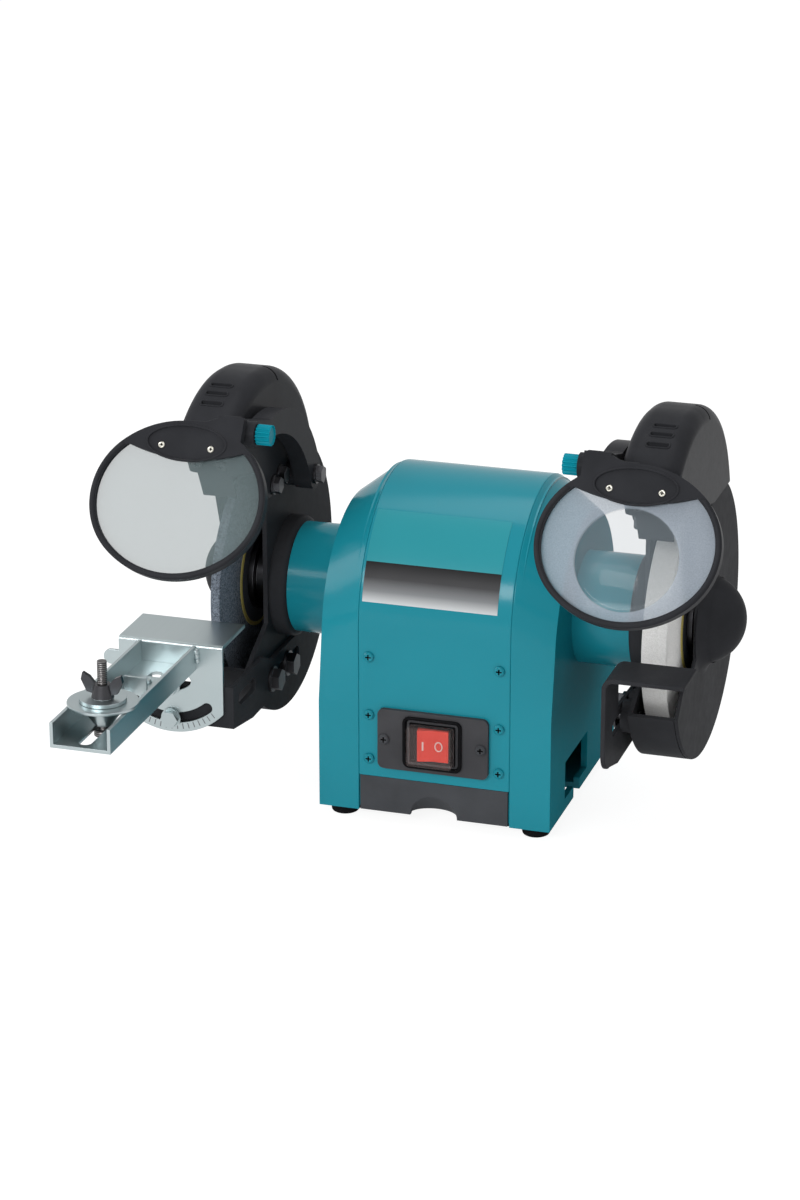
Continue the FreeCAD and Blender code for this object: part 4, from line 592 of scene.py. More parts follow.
class Look(Enum):
    """Every finish of the grinder."""

    TEAL = GlossPaint("teal_enamel", (0.0120, 0.262, 0.335))
    # Rougher, less glossy teal for the end frames' flat sides; its darker colour is painted shade on those
    # sides.
    CAST_TEAL = GlossPaint("cast_enamel", (0.0100, 0.235, 0.300), 0.35, 0.00006, 1.03)
    PALE_TEAL = GlossPaint("pale_teal_sheet", (0.026, 0.300, 0.352), 0.3, 0.00001)
    BLACK = PowderCoat("black_coat", (0.036, 0.037, 0.041))
    HOOD = MouldedPlastic("hood_plastic", (0.031, 0.032, 0.036), 0.3, 0.00004, 1.08)
    TRAY = MouldedPlastic("tray_plastic", (0.070, 0.073, 0.080), 0.5)
    SWITCH = MouldedPlastic("switch_plastic", (0.062, 0.062, 0.067), 0.42)
    BEZEL = MouldedPlastic("bezel_plastic", (0.006, 0.006, 0.007), 0.3)
    KNOB = MouldedPlastic("knob_plastic", (0.003, 0.265, 0.35), 0.3)
    ROCKER = MouldedPlastic("rocker_plastic", (0.80, 0.055, 0.035), 0.25, 0.00001)
    MARK = MouldedPlastic("mark_plastic", (0.85, 0.62, 0.58), 0.4, 0.00001)
    # Painted shade for the screws' cross recesses.
    RECESS = MouldedPlastic("recess_shade", (0.004, 0.004, 0.004), 0.6)
    BOOT = ClearSheet("boot_sheet", (0.55, 0.45, 0.44), 0.06, 0.1)
    LENS = ClearSheet("lens_sheet", (0.20, 0.26, 0.27), 0.36, 0.2)
    MAGNIFIER = FrostedLens("frosted_sheet", (0.42, 0.48, 0.55), (141.4, -160.8, 224.7), 31.5)
    ZINC = Plated("zinc_plate", (0.52, 0.58, 0.59), 0.3)
    APRON = Scale("zinc_scale", (0.55, 0.61, 0.62), 0.34)
    BRIGHT = Plated("bright_steel", (0.74, 0.72, 0.64), 0.3, EVEN, (0.66, 0.64, 0.56))
    STEEL = Plated("turned_steel", (0.56, 0.56, 0.58), 0.25, (1.0, 0.3, 0.3), (0.50, 0.50, 0.52))
    STUD = Thread("threaded_stud", (0.30, 0.29, 0.29), 0.35, EVEN, (0.22, 0.21, 0.21))
    OXIDE = Plated("black_oxide", (0.080, 0.080, 0.086), 0.35, EVEN, (0.05, 0.05, 0.056))
    BEARING = Plated("bearing_steel", (0.72, 0.72, 0.75), 0.15, EVEN, (0.66, 0.66, 0.70))
    ALLOY = Plated("spun_alloy", (0.78, 0.78, 0.80), 0.3, EVEN, (0.70, 0.70, 0.72))
    COPPER = Plated("varnished_copper", (0.55, 0.22, 0.08), 0.3, (0.1, 1.0, 1.0), (0.45, 0.16, 0.05))
    IRON = Plated("stacked_iron", (0.28, 0.28, 0.30), 0.45, (8.0, 0.05, 0.05), (0.24, 0.22, 0.20))
    RUBBER = MouldedPlastic("foot_rubber", (0.010, 0.010, 0.011), 0.75, 0.0001)
    GREY_STONE = Abrasive("grey_stone", (0.27, 0.31, 0.37), (0.07, 0.085, 0.11))
    WHITE_STONE = Abrasive("white_stone", (0.94, 0.94, 0.93), (0.80, 0.80, 0.78), 2400.0, 0.0002)
    BLOTTER = Paper("blotter_paper", (0.05, 0.055, 0.07), (0.50, 0.42, 0.12))
    # The name plate, with a painted highlight along its lower part.
    PLATE = FadedPlate("faded_plate", 150.0, 174.0)

    def material(self) -> Material:
        """The finish's material, made on first use."""
        return bpy.data.materials.get(self.value.name) or self.value.material()


@dataclass(frozen=True)
class Trim:
    """A CAD node's finish, the radius of its edges in millimetres and the radius's steps."""

    node: str
    look: Look
    edge: float
    steps: int = 2


Paint = tuple[str, Look]
Extra = Sequence[tuple[Look, Callable[[Vector], bool]]]


# Hand modelling steps on one object at a time, with lengths in millimetres.
def rest() -> None:
    """Leave edit mode and deselect everything."""
    if bpy.context.object and bpy.context.object.mode != "OBJECT":
        bpy.ops.object.mode_set(mode="OBJECT")
    bpy.ops.object.select_all(action="DESELECT")


def take(piece: Piece) -> None:
    """Make a piece the only one that is selected.

    Args:
        piece: the object.
    """
    rest()
    piece.select_set(True)
    bpy.context.view_layer.objects.active = piece


def named(name: str) -> Piece:
    """Name the primitive that was just added."""
    bpy.context.object.name = bpy.context.object.data.name = name
    return bpy.context.object


def settle(piece: Piece, centre: Sequence[float], turn: Point = ORIGIN) -> Piece:
    """Turn a piece that was made at the origin, move it to its place and keep both in its mesh.

    Args:
        piece: the object.
        centre: its place.
        turn: its turn about X, Y and Z in radians.

    Returns:
        The piece.
    """
    take(piece)
    piece.location = metres(centre)
    piece.rotation_euler = turn
    bpy.ops.object.transform_apply()
    return piece


def drum(name: str, radius: float, depth: float, centre: Point, way: Way, sides: int,
         ends: str = "NGON") -> Piece:
    """A cylinder with its place in its mesh.

    Args:
        name: the piece's name.
        radius: its radius.
        depth: its length along its way.
        centre: its middle.
        way: the direction of its axis.
        sides: its facets.
        ends: how its ends are filled.

    Returns:
        The piece.
    """
    rest()
    bpy.ops.mesh.primitive_cylinder_add(
        vertices=sides, radius=radius * MM, depth=depth * MM, end_fill_type=ends)
    return settle(named(name), centre, way.value)


def block(name: str, size: Point, centre: Point) -> Piece:
    """A box with its place in its mesh.

    Args:
        name: the piece's name.
        size: its sizes along X, Y and Z.
        centre: its middle.

    Returns:
        The piece.
    """
    rest()
    bpy.ops.mesh.primitive_cube_add(size=1.0)
    piece = named(name)
    piece.scale = metres(size)
    return settle(piece, centre)


def stance(item: bmesh.types.BMVert | bmesh.types.BMEdge | bmesh.types.BMFace) -> tuple[Vector, Vector]:
    """The middle and the normal or direction of a part of a mesh.

    Args:
        item: a vertex, an edge or a face.

    Returns:
        The middle, and the normal of a vertex or face or the direction of an edge.
    """
    if isinstance(item, bmesh.types.BMFace):
        return item.calc_center_median() / MM, item.normal
    if isinstance(item, bmesh.types.BMEdge):
        first, second = [vert.co for vert in item.verts]
        return (first + second) / 2 / MM, (second - first).normalized()
    return item.co / MM, item.normal


@contextmanager
def edit(piece: Piece, kind: Kind = Kind.VERTS, test: Test | None = None) -> Iterator[int]:
    """Edit mode on a piece, with what a test accepts selected.

    Args:
        piece: the object.
        kind: what is selected.
        test: a test of the middle and the normal or direction, or None to select everything.

    Yields:
        How many a test accepted.
    """
    take(piece)
    bpy.ops.object.mode_set(mode="EDIT")
    bpy.ops.mesh.select_mode(type=kind.value)
    bpy.ops.mesh.select_all(action="DESELECT" if test else "SELECT")
    mesh = bmesh.from_edit_mesh(piece.data)
    chosen = [item for item in getattr(mesh, kind.name.lower()) if test and test(*stance(item))]
    for item in chosen:
        item.select_set(True)
    mesh.select_flush_mode()
    bmesh.update_edit_mesh(piece.data)
    yield len(chosen)
    bpy.ops.object.mode_set(mode="OBJECT")


def bevel(piece: Piece, test: Test, width: float, segments: int, clamp: bool = False) -> None:
    """Round the edges that a test accepts.

    Args:
        piece: the object.
        test: a test of an edge's middle and direction.
        width: the rounding's width.
        segments: its steps.
        clamp: whether it stops at its neighbours.
    """
    with edit(piece, Kind.EDGES, test) as count:
        if count:
            bpy.ops.mesh.bevel(offset=width * MM, segments=segments, clamp_overlap=clamp)


def modify(piece: Piece, kind: str, **settings: object) -> None:
    """Add a modifier and apply it.

    Args:
        piece: the object.
        kind: the modifier's type.
        **settings: its properties.
    """
    take(piece)
    made = piece.modifiers.new(kind.lower(), kind)
    for key, value in settings.items():
        setattr(made, key, value)
    bpy.ops.object.modifier_apply(modifier=made.name)


def soften(piece: Piece, width: float, segments: int = 2, limit: float = 30.0) -> None:
    """Round a piece's sharp edges and shade it smooth.

    Args:
        piece: the object.
        width: the bevel's width.
        segments: the bevel's steps.
        limit: the angle in degrees from which an edge counts as sharp.
    """
    modify(piece, "BEVEL", width=width * MM, segments=segments, limit_method="ANGLE",
           angle_limit=math.radians(limit), use_clamp_overlap=True, harden_normals=False)
    smooth(piece, limit)
    modify(piece, "WEIGHTED_NORMAL", keep_sharp=True)


def smooth(piece: Piece, limit: float) -> None:
    """Shade a piece smooth up to an angle in degrees."""
    take(piece)
    bpy.ops.object.shade_smooth_by_angle(angle=math.radians(limit))


def mend(piece: Piece) -> None:
    """Merge doubles and point the faces outwards.

    Args:
        piece: the object.
    """
    with edit(piece):
        bpy.ops.mesh.remove_doubles(threshold=DOUBLE)
        bpy.ops.mesh.normals_make_consistent(inside=False)


def merge(name: str, pieces: Sequence[Piece]) -> Piece:
    """Join pieces into one object.

    Args:
        name: the joined piece's name.
        pieces: the objects.

    Returns:
        The joined piece.
    """
    rest()
    for piece in pieces:
        piece.select_set(True)
    bpy.context.view_layer.objects.active = pieces[0]
    bpy.ops.object.join()
    return named(name)


def trim_off(piece: Piece, point: Point, normal: Point, fill: bool = False) -> None:
    """Cut away what lies beyond a plane.

    Args:
        piece: the object.
        point: a point on the plane.
        normal: the plane's normal, towards what goes.
        fill: whether the cut is closed.
    """
    with edit(piece):
        bpy.ops.mesh.bisect(plane_co=metres(point), plane_no=normal, clear_outer=True, use_fill=fill)


def wire(name: str, half: Sequence[float], tube: float, corner: float | None = None) -> Piece:
    """A closed round wire in the XY plane about the origin.

    Args:
        name: the piece's name.
        half: half its width and height.
        tube: the wire's radius.
        corner: the corner radius of a box outline, or None for an oval.

    Returns:
        The wire.
    """
    rest()
    if corner is None:
        bpy.ops.mesh.primitive_circle_add(vertices=96, radius=MM)
    else:
        bpy.ops.mesh.primitive_plane_add(size=2 * MM)
    piece = named(name)
    piece.scale = (*half, 1.0)
    bpy.ops.object.transform_apply()
    if corner is not None:
        with edit(piece):
            bpy.ops.mesh.bevel(offset=corner * MM, segments=5, affect="VERTICES")
            bpy.ops.mesh.select_all(action="SELECT")
            bpy.ops.mesh.delete(type="ONLY_FACE")
    bpy.ops.object.convert(target="CURVE")
    bpy.context.object.data.bevel_depth = tube * MM
    bpy.context.object.data.bevel_resolution = 3
    bpy.ops.object.convert(target="MESH")
    piece = named(name)
    mend(piece)
    smooth(piece, 60.0)
    return piece


def carve(piece: Piece, cutter: Piece) -> None:
    """Cut one piece with another, which goes."""
    modify(piece, "BOOLEAN", object=cutter, operation="DIFFERENCE", solver="EXACT", material_mode="TRANSFER")
    bpy.data.objects.remove(cutter)


@dataclass
class SubAssembly:
    """A group of pieces that is dressed together.

    painted nodes keep their CAD mesh, and trimmed nodes only get rounded edges.
    """

    title: str = "sub-assembly"
    painted: Sequence[Paint] = ()
    trimmed: Sequence[Trim] = ()
    made: list[Piece] = field(default_factory=list)

    def build(self) -> None:
        """Dress the plain nodes and model the others."""
        for node, look in self.painted:
            self.paint(node, look)
        for trim in self.trimmed:
            self.refine(trim)
        self.model()

    def model(self) -> None:
        """Build the pieces that need more than a finish and rounded edges."""

    def body_of(self, node: str) -> str:
        """The body that carries a CAD node."""
        bodies = frame["record"]["behaviour"]["bodies"]
        return next(body for body, nodes in bodies.items() if node in nodes)

    def paint(self, node: str, look: Look) -> None:
        """Give a CAD node its finish as it stands.

        Args:
            node: the node's name.
            look: its finish.
        """
        piece = frame["nodes"][node]
        piece.data.materials.clear()
        piece.data.materials.append(look.material())
        LOG.info("%s: node %s in %s", self.title, node, look.value.name)

    def touch(self, node: str, start: Point, way: Point) -> tuple[Vector, Vector]:
        """Where a straight line meets a CAD node.

        Args:
            node: the node's name.
            start: the line's start in millimetres.
            way: its direction.

        Returns:
            The point in millimetres and the surface's normal there.
        """
        mesh = frame["nodes"][node].data
        tree = BVHTree.FromPolygons([v.co for v in mesh.vertices], [face.vertices for face in mesh.polygons])
        place, normal, _, _ = tree.ray_cast(Vector(start) * MM, Vector(way))
        if place is None:
            raise RuntimeError(f"nothing of {node} on the line")
        return place / MM, normal

    def copy(self, node: str, plain: bool = True) -> Piece:
        """A merged copy of a CAD node, ready for modelling.

        Args:
            node: the node's name.
            plain: whether flat areas become single faces.

        Returns:
            The copy.
        """
        piece = bpy.data.objects.new(node + "_finished", frame["nodes"][node].data.copy())
        bpy.context.scene.collection.objects.link(piece)
        with edit(piece):
            bpy.ops.mesh.remove_doubles(threshold=DOUBLE)
            if plain:
                bpy.ops.mesh.dissolve_limited(angle_limit=math.radians(FLAT))
        piece.data.materials.clear()
        return piece

    def round_heads(self, piece: Piece, places: Sequence[tuple[Point, Point]], inner: float,
                    width: float) -> None:
        """Round the outer edges of screw heads and leave their recesses crisp.

        Args:
            piece: the screws.
            places: the middle of each head's top and the turn from Z to its normal.
            inner: the radius in millimetres outside which an edge is rounded.
            width: the rounding's width.
        """
        up = Vector((0.0, 0.0, 1.0))
        heads = [(Vector(centre), Euler(turn).to_matrix() @ up) for centre, turn in places]
        lowest, highest = -1.0, 0.2

        def on_rim(at: Vector, way: Vector) -> bool:
            """Whether an edge lies on the rim of a head.

            Args:
                at: the edge's middle in millimetres.
                way: its direction.

            Returns:
                True on a rim.
            """
            for centre, normal in heads:
                off = at - centre
                rise = off.dot(normal)
                if lowest < rise < highest and inner < (off - rise * normal).length < 2 * inner:
                    return abs(way.dot(normal)) < 0.2
            return False
        bevel(piece, on_rim, width, 3, True)
        smooth(piece, 35.0)

    def refine(self, trim: Trim, shape: Callable[[Piece], None] | None = None, extra: Extra = (),
               added: Sequence[Piece] = ()) -> Piece:
        """Stand a copy of a CAD node, with its edges rounded, in the node's place.

        Args:
            trim: the node with its finish and edges.
            shape: further modelling before the edges are rounded.
            extra: further finishes, each with a test of a face's middle in millimetres.
            added: pieces that are joined to it after its edges are rounded.

        Returns:
            The new piece.
        """
        piece = self.copy(trim.node)
        if shape is not None:
            shape(piece)
        soften(piece, trim.edge, trim.steps)
        if added:
            piece = merge(piece.name, [piece, *added])
        return self.stand_in(piece, trim.node, trim.look, extra)

    def stand_in(self, piece: Piece, node: str, look: Look, extra: Extra = ()) -> Piece:
        """Dress a finished piece that stands in the place of a CAD node."""
        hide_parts(node)
        return self.fit(piece, look, node, extra)

    def fit(self, piece: Piece, look: Look, host: str, extra: Extra = (), slot: str | None = None) -> Piece:
        """Dress a finished piece and hang it on its body.

        Args:
            piece: the object.
            look: its finish.
            host: the CAD node whose body carries it.
            extra: further finishes, each with a test of a face's middle in millimetres.
            slot: the record's material slot, where it isn't the host's; not used.

        Returns:
            The piece.
        """
        piece.data.materials.clear()
        piece.data.materials.append(look.material())
        for index, (finish, test) in enumerate(extra, start=1):
            piece.data.materials.append(finish.material())
            for face in piece.data.polygons:
                if test(face.center / MM):
                    face.material_index = index
        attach(piece, self.body_of(host))
        self.made.append(piece)
        LOG.info("%s: piece %s in %s", self.title, piece.name, look.value.name)
        return piece


@dataclass
class Housing(SubAssembly):
    """End frames, wrap, base, tray, screws and the bare plates on the front of the arch."""

    title: str = "housing"
    painted: Sequence[Paint] = (("foot_screws", Look.ZINC),)
    trimmed: Sequence[Trim] = (Trim("rubber_feet", Look.RUBBER, 0.8), Trim("cord_gland", Look.RUBBER, 0.6))
    plate_low: float = 150.0
    plate_high: float = 174.0
    sheet_high: float = 200.5
    plate_middle: float = -3.75
    plate_half: float = 44.25
    plate_facets: int = 240
    arch: float = 83.0
    plate_proud: float = 0.25
    screw_across: float = 43.0
    screw_heights: Point = (44.5, 74.5, 113.8)
    head_front: float = 85.0
    plate_screw: Point = (32.0, 88.0, 60.2)
    head_edge: float = 2.3
    head_round: float = 0.5
    head_room: float = 4.0
    cross_deep: float = 0.12
    seam: float = 50.0
    seam_round: float = 0.9
    corner: Pair = (72.0, 74.0)
    corner_round: float = 2.4
    flank: float = 76.8
    front: float = -83.0
    scoop: Pair = (15.6, 14.0)
    scoop_low: float = 8.5
    scoop_slope: float = 1.2
    scoop_wall: float = 2.6
    scoop_play: float = 0.05
    scoop_cut: Pair = (-7.0, 16.0)
    scoop_run: Pair = (0.5, 14.0)
    bay_depth: float = 18.0
    bay_room: float = 1.0
    bay_tall: float = 8.0
    box_low: float = 10.35
    below: Point = (60.0, 80.0, 60.0)

    def model(self) -> None:
        """Build the frames, wrap, base, tray, screws and plates."""
        for side in Side:
            # The end frames' flat sides take the rougher cast teal, whose darker colour is painted shade.
            self.refine(Trim(f"{side.word}_end_frame", Look.TEAL, 0.4), self.ease,
                        [(Look.CAST_TEAL, lambda at: near(abs(at.x), self.flank))])
        self.refine(Trim("wrap_cover", Look.TEAL, 0.3), self.ease)
        self.refine(Trim("base_plate", Look.BLACK, 0.3), self.clear_base)
        self.tray()
        self.screws()
        self.curved_plate("name_plate", (self.plate_low, self.plate_high), Look.PLATE, "black_plastic")
        self.curved_plate("badge_sheet", (self.plate_high, self.sheet_high), Look.PALE_TEAL, "teal_plastic")

    def ease(self, piece: Piece) -> None:
        """Ease the seam between the wrap and the end frames and the upright corners.

        Args:
            piece: an end frame or the wrap.
        """
        def on_seam(at: Vector, way: Vector) -> bool:
            """Whether an edge runs along the seam."""
            outline = from_axis(at) if at.z > AXIS_HEIGHT else abs(at.y)
            return near(abs(at.x), self.seam, 0.05) and abs(way.x) < 0.1 and near(outline, self.arch, 0.3)

        def on_corner(at: Vector, way: Vector) -> bool:
            """Whether an edge is an upright corner of an end frame."""
            return abs(at.x) > self.corner[0] and abs(at.y) > self.corner[1] and abs(way.z) > ALONG
        for test, width in ((on_seam, self.seam_round), (on_corner, self.corner_round)):
            bevel(piece, test, width, 4, True)

    def scoop_bar(self, grow: float, run: Pair) -> Piece:
        """An oval bar that slants down behind the tray's front, in the shape of the finger scoop.

        Args:
            grow: how far it stands outside the scoop, in millimetres.
            run: its two ends behind the tray's front.

        Returns:
            The bar.
        """
        start, end = [self.front + along for along in run]
        bar = drum("scoop", 1.0, end - start, ORIGIN, Way.Y, 72)
        bar.scale = (self.scoop[0] + grow, 1.0, self.scoop[1] + grow)
        middle = (start + end) / 2
        settle(bar, (0.0, middle, self.scoop_low))
        for edge in (start, end):
            with edit(bar, Kind.VERTS, lambda at, _: (at.y > middle) == (edge > middle)):
                bpy.ops.transform.translate(value=(0.0, 0.0, (self.front - edge) * self.scoop_slope * MM))
        return bar

    def tray(self) -> None:
        """The drawer, with a finger scoop in its front that a moulded wall closes towards the box."""
        self.refine(Trim("coolant_tray", Look.TRAY, 0.7),
                    lambda piece: carve(piece, self.scoop_bar(0.0, self.scoop_cut)))
        wall = self.scoop_bar(self.scoop_wall, self.scoop_run)
        wall.name = wall.data.name = "tray_scoop"
        carve(wall, self.scoop_bar(self.scoop_play, self.scoop_cut))
        carve(wall, block("below", self.below, (0.0, self.front, self.box_low - self.below[2] / 2)))
        soften(wall, 0.3)
        self.fit(wall, Look.TRAY, "coolant_tray")

    def clear_base(self, piece: Piece) -> None:
        """Cut the base plate's front edge away under the tray's finger scoop."""
        size = (2 * (self.scoop[0] + self.bay_room), self.bay_depth, self.bay_tall)
        carve(piece, block("bay", size, (0.0, self.front + self.bay_depth / 2, self.scoop_low)))

    def screws(self) -> None:
        """Pan heads with cross recesses, enamelled on the wrap and black on the switch plate, with painted
        shade in the recesses.
        """
        across, deep, height = self.plate_screw
        heads = [(sign * self.screw_across, way * self.head_front, rise)
                 for sign in SIGNS for way in SIGNS for rise in self.screw_heights]
        heads += [(sign * across, -deep, height) for sign in SIGNS]
        places = [(head, (math.copysign(math.pi / 2, -head[1]), 0.0, 0.0)) for head in heads]
        piece = self.copy("housing_screws", plain=False)
        self.round_heads(piece, places, self.head_edge, self.head_round)

        def in_cross(at: Vector) -> bool:
            """Whether a face lies in a head's recess."""
            close = [head for head in heads if (at - Vector(head)).length < self.head_edge]
            return any(not near(abs(at.y), abs(head[1]), self.cross_deep) for head in close)

        def on_plate(at: Vector) -> bool:
            """Whether a face is one of the switch plate's screws."""
            room = self.head_room
            return at.y < 0 and near(at.z, height, room) and near(abs(at.x), across, room)
        self.stand_in(piece, "housing_screws", Look.TEAL, [(Look.TRAY, on_plate), (Look.RECESS, in_cross)])

    def curved_plate(self, name: str, edges: Pair, look: Look, slot: str) -> None:
        """A bare thin plate that follows the front of the arch.

        Args:
            name: the piece's name.
            edges: its lower and upper edge in millimetres.
            look: its finish.
            slot: the record's material slot.
        """
        piece = drum(name, self.arch + self.plate_proud, 2 * self.plate_half,
                     (self.plate_middle, 0.0, AXIS_HEIGHT), Way.X, self.plate_facets, "NOTHING")
        for height, sign in zip(edges, SIGNS):
            trim_off(piece, (0.0, 0.0, height), (0.0, 0.0, sign))
        trim_off(piece, ORIGIN, (0.0, 1.0, 0.0))
        mend(piece)
        modify(piece, "SOLIDIFY", thickness=self.plate_proud * MM, offset=-1.0)
        smooth(piece, 40.0)
        self.fit(piece, look, "wrap_cover", slot=slot)


@dataclass
class Switch(SubAssembly):
    """Switch plate, body, rocker with its marks and the clear boot."""

    title: str = "switch"
    trimmed: Sequence[Trim] = (
        Trim("switch_plate", Look.SWITCH, 1.2, 4), Trim("switch_body", Look.BEZEL, 0.5),
        Trim("switch_rocker", Look.ROCKER, 0.7, 3), Trim("switch_boot", Look.BOOT, 0.6, 3))
    mark_across: float = 5.0
    mark_height: float = 60.2
    bar: Point = (1.1, 6.0, 0.3)
    ring: Pair = (2.3, 3.0)
    ring_wire: float = 0.42
    bezel: Pair = (39.0, 35.0)
    window: Pair = (31.0, 27.5)
    window_deep: float = 6.0
    window_flare: float = 1.22
    corners: Pair = (4.5, 2.2)
    plate_face: float = -86.0
    bezel_proud: float = 1.8

    def model(self) -> None:
        """Build the rocker's marks and the switch's surround."""
        self.marks()
        self.surround()

    def surround(self) -> None:
        """A raised black surround with sloping inner sides, glued round the switch on its plate."""
        middle = (0.0, self.plate_face - self.bezel_proud / 2, self.mark_height)
        piece = block("switch_surround", (self.bezel[0], self.bezel_proud, self.bezel[1]), middle)
        cutter = block("window", (self.window[0], self.window_deep, self.window[1]), middle)
        for solid, corner in zip((piece, cutter), self.corners):
            bevel(solid, lambda _, way: abs(way.y) > ALONG, corner, 5)
        with edit(cutter, Kind.FACES, lambda _, way: way.y < -ALONG):
            bpy.ops.transform.resize(value=(self.window_flare, 1.0, self.window_flare),
                                     center_override=metres(middle))
        carve(piece, cutter)
        soften(piece, 0.5, 3)
        self.fit(piece, Look.BEZEL, "switch_plate")

    def marks(self) -> None:
        """A plain bar and a plain ring on the two halves of the rocker."""
        pieces = []
        for side in Side:
            start = (side.value * self.mark_across, BEFORE, self.mark_height)
            place, normal = self.touch("switch_rocker", start, (0.0, 1.0, 0.0))
            turn = tuple(normal.to_track_quat("Z", "Y").to_euler())
            if side is Side.LEFT:
                mark = block("bar", self.bar, ORIGIN)
                soften(mark, 0.12)
            else:
                mark = wire("ring", self.ring, self.ring_wire)
            pieces.append(settle(mark, place, turn))
        self.fit(merge("rocker_marks", pieces), Look.MARK, "switch_rocker")


@dataclass
class Motor(SubAssembly):
    """What the housing hides: stator, rotor, fan, capacitor and bearings."""

    title: str = "motor"
    painted: Sequence[Paint] = (
        ("stator_core", Look.IRON), ("stator_windings", Look.COPPER), ("rotor_core", Look.IRON),
        ("cooling_fan", Look.HOOD), ("capacitor", Look.ALLOY), ("capacitor_clamp", Look.ZINC),
        ("bearings", Look.BEARING))


@dataclass
class Wheels(SubAssembly):
    """Spindle, flanges, nuts, blotters and both wheels."""

    title: str = "wheels"
    painted: Sequence[Paint] = (("blotters", Look.BLOTTER), ("spindle", Look.STEEL))
    trimmed: Sequence[Trim] = (
        Trim("left_wheel", Look.GREY_STONE, 0.8), Trim("right_wheel", Look.WHITE_STONE, 0.8),
        Trim("inner_flanges", Look.OXIDE, 0.6), Trim("outer_flanges", Look.OXIDE, 0.6),
        Trim("spindle_nuts", Look.OXIDE, 0.5))


@dataclass
class Guards(SubAssembly):
    """Wheel guards, covers, dust caps, spark arresters and their fasteners.

    A ring's values are its face, its radius, its rounding and the rounding's steps.
    """

    title: str = "guards"
    trimmed: Sequence[Trim] = tuple(Trim(node, Look.OXIDE, 0.35) for node in (
        "guard_screws", "cap_bolts", "arm_bolts", "arrester_screws", "rest_bolts"))
    collar_ring: tuple[float, float, float, int] = (114.0, 40.0, 4.0, 5)
    dome_ring: tuple[float, float, float, int] = (157.0, 28.65, 7.0, 6)
    vent_across: float = 142.6
    vent_probe: float = 9.0
    vents: Point = (-73.0, -82.2, -91.4)
    vent_half: Pair = (7.3, 2.1)
    vent_wire: float = 0.62
    vent_corner: float = 1.7
    cap_sides: Pair = (122.2, 159.8)
    notch: Point = (20.0, 2.4, 6.0)
    notch_along: float = -26.0
    notch_floor: float = 7.6
    notch_probe: float = 12.0
    notch_turn: float = 0.25

    def model(self) -> None:
        """Build the guards, covers, dust caps and spark arresters."""
        for side in Side:
            self.refine(Trim(f"{side.word}_guard", Look.BLACK, 0.9),
                        lambda piece: self.round_ring(piece, *self.collar_ring))
            self.refine(Trim(f"{side.word}_guard_cover", Look.BLACK, 1.0),
                        lambda piece: self.round_ring(piece, *self.dome_ring))
            self.dust_cap(side)
            self.refine(Trim(f"{side.word}_spark_arrester", Look.BLACK, 0.4))

    def round_ring(self, piece: Piece, face: float, radius: float, width: float, steps: int) -> None:
        """Round an edge that runs about the spindle.

        Args:
            piece: the object.
            face: the edge's distance from the middle along X.
            radius: its radius.
            width: the rounding's width.
            steps: the rounding's steps.
        """
        bevel(piece, lambda at, _: near(abs(at.x), face, 0.05) and near(from_axis(at), radius, 0.2),
              width, steps)

    def dust_cap(self, side: Side) -> None:
        """A hood with raised rims round its vents and a slanted notch over its shoulder.

        Args:
            side: the end of the spindle that it covers.
        """
        node = f"{side.word}_dust_cap"
        down = (0.0, 0.0, -1.0)
        shoulder = -self.cap_sides[0] if side is Side.LEFT else self.cap_sides[1]
        top, _ = self.touch(node, (shoulder - self.notch_probe, self.notch_along, ABOVE), down)
        long, _, tall = self.notch
        reach = long / 2 - (self.notch_floor + tall / 2) * math.sqrt(0.5)

        def cut(piece: Piece) -> None:
            """Cut the notch with a slanted bar.

            Args:
                piece: the hood.
            """
            bar = block("notch", self.notch, ORIGIN)
            settle(bar, ORIGIN, (0.0, math.pi / 4, self.notch_turn))
            settle(bar, (shoulder - reach, self.notch_along, top.z - reach))
            carve(piece, bar)
        rims = []
        for along in self.vents:
            start = (side.value * (self.vent_across - self.vent_probe), along, ABOVE)
            place, normal = self.touch(node, start, down)
            slope = math.atan2(-normal.y, normal.z)
            rim = wire("rim", self.vent_half, self.vent_wire, self.vent_corner)
            rims.append(settle(rim, (side.value * self.vent_across, along, place.z), (slope, 0.0, 0.0)))
        self.refine(Trim(node, Look.HOOD, 0.6), cut, added=rims)


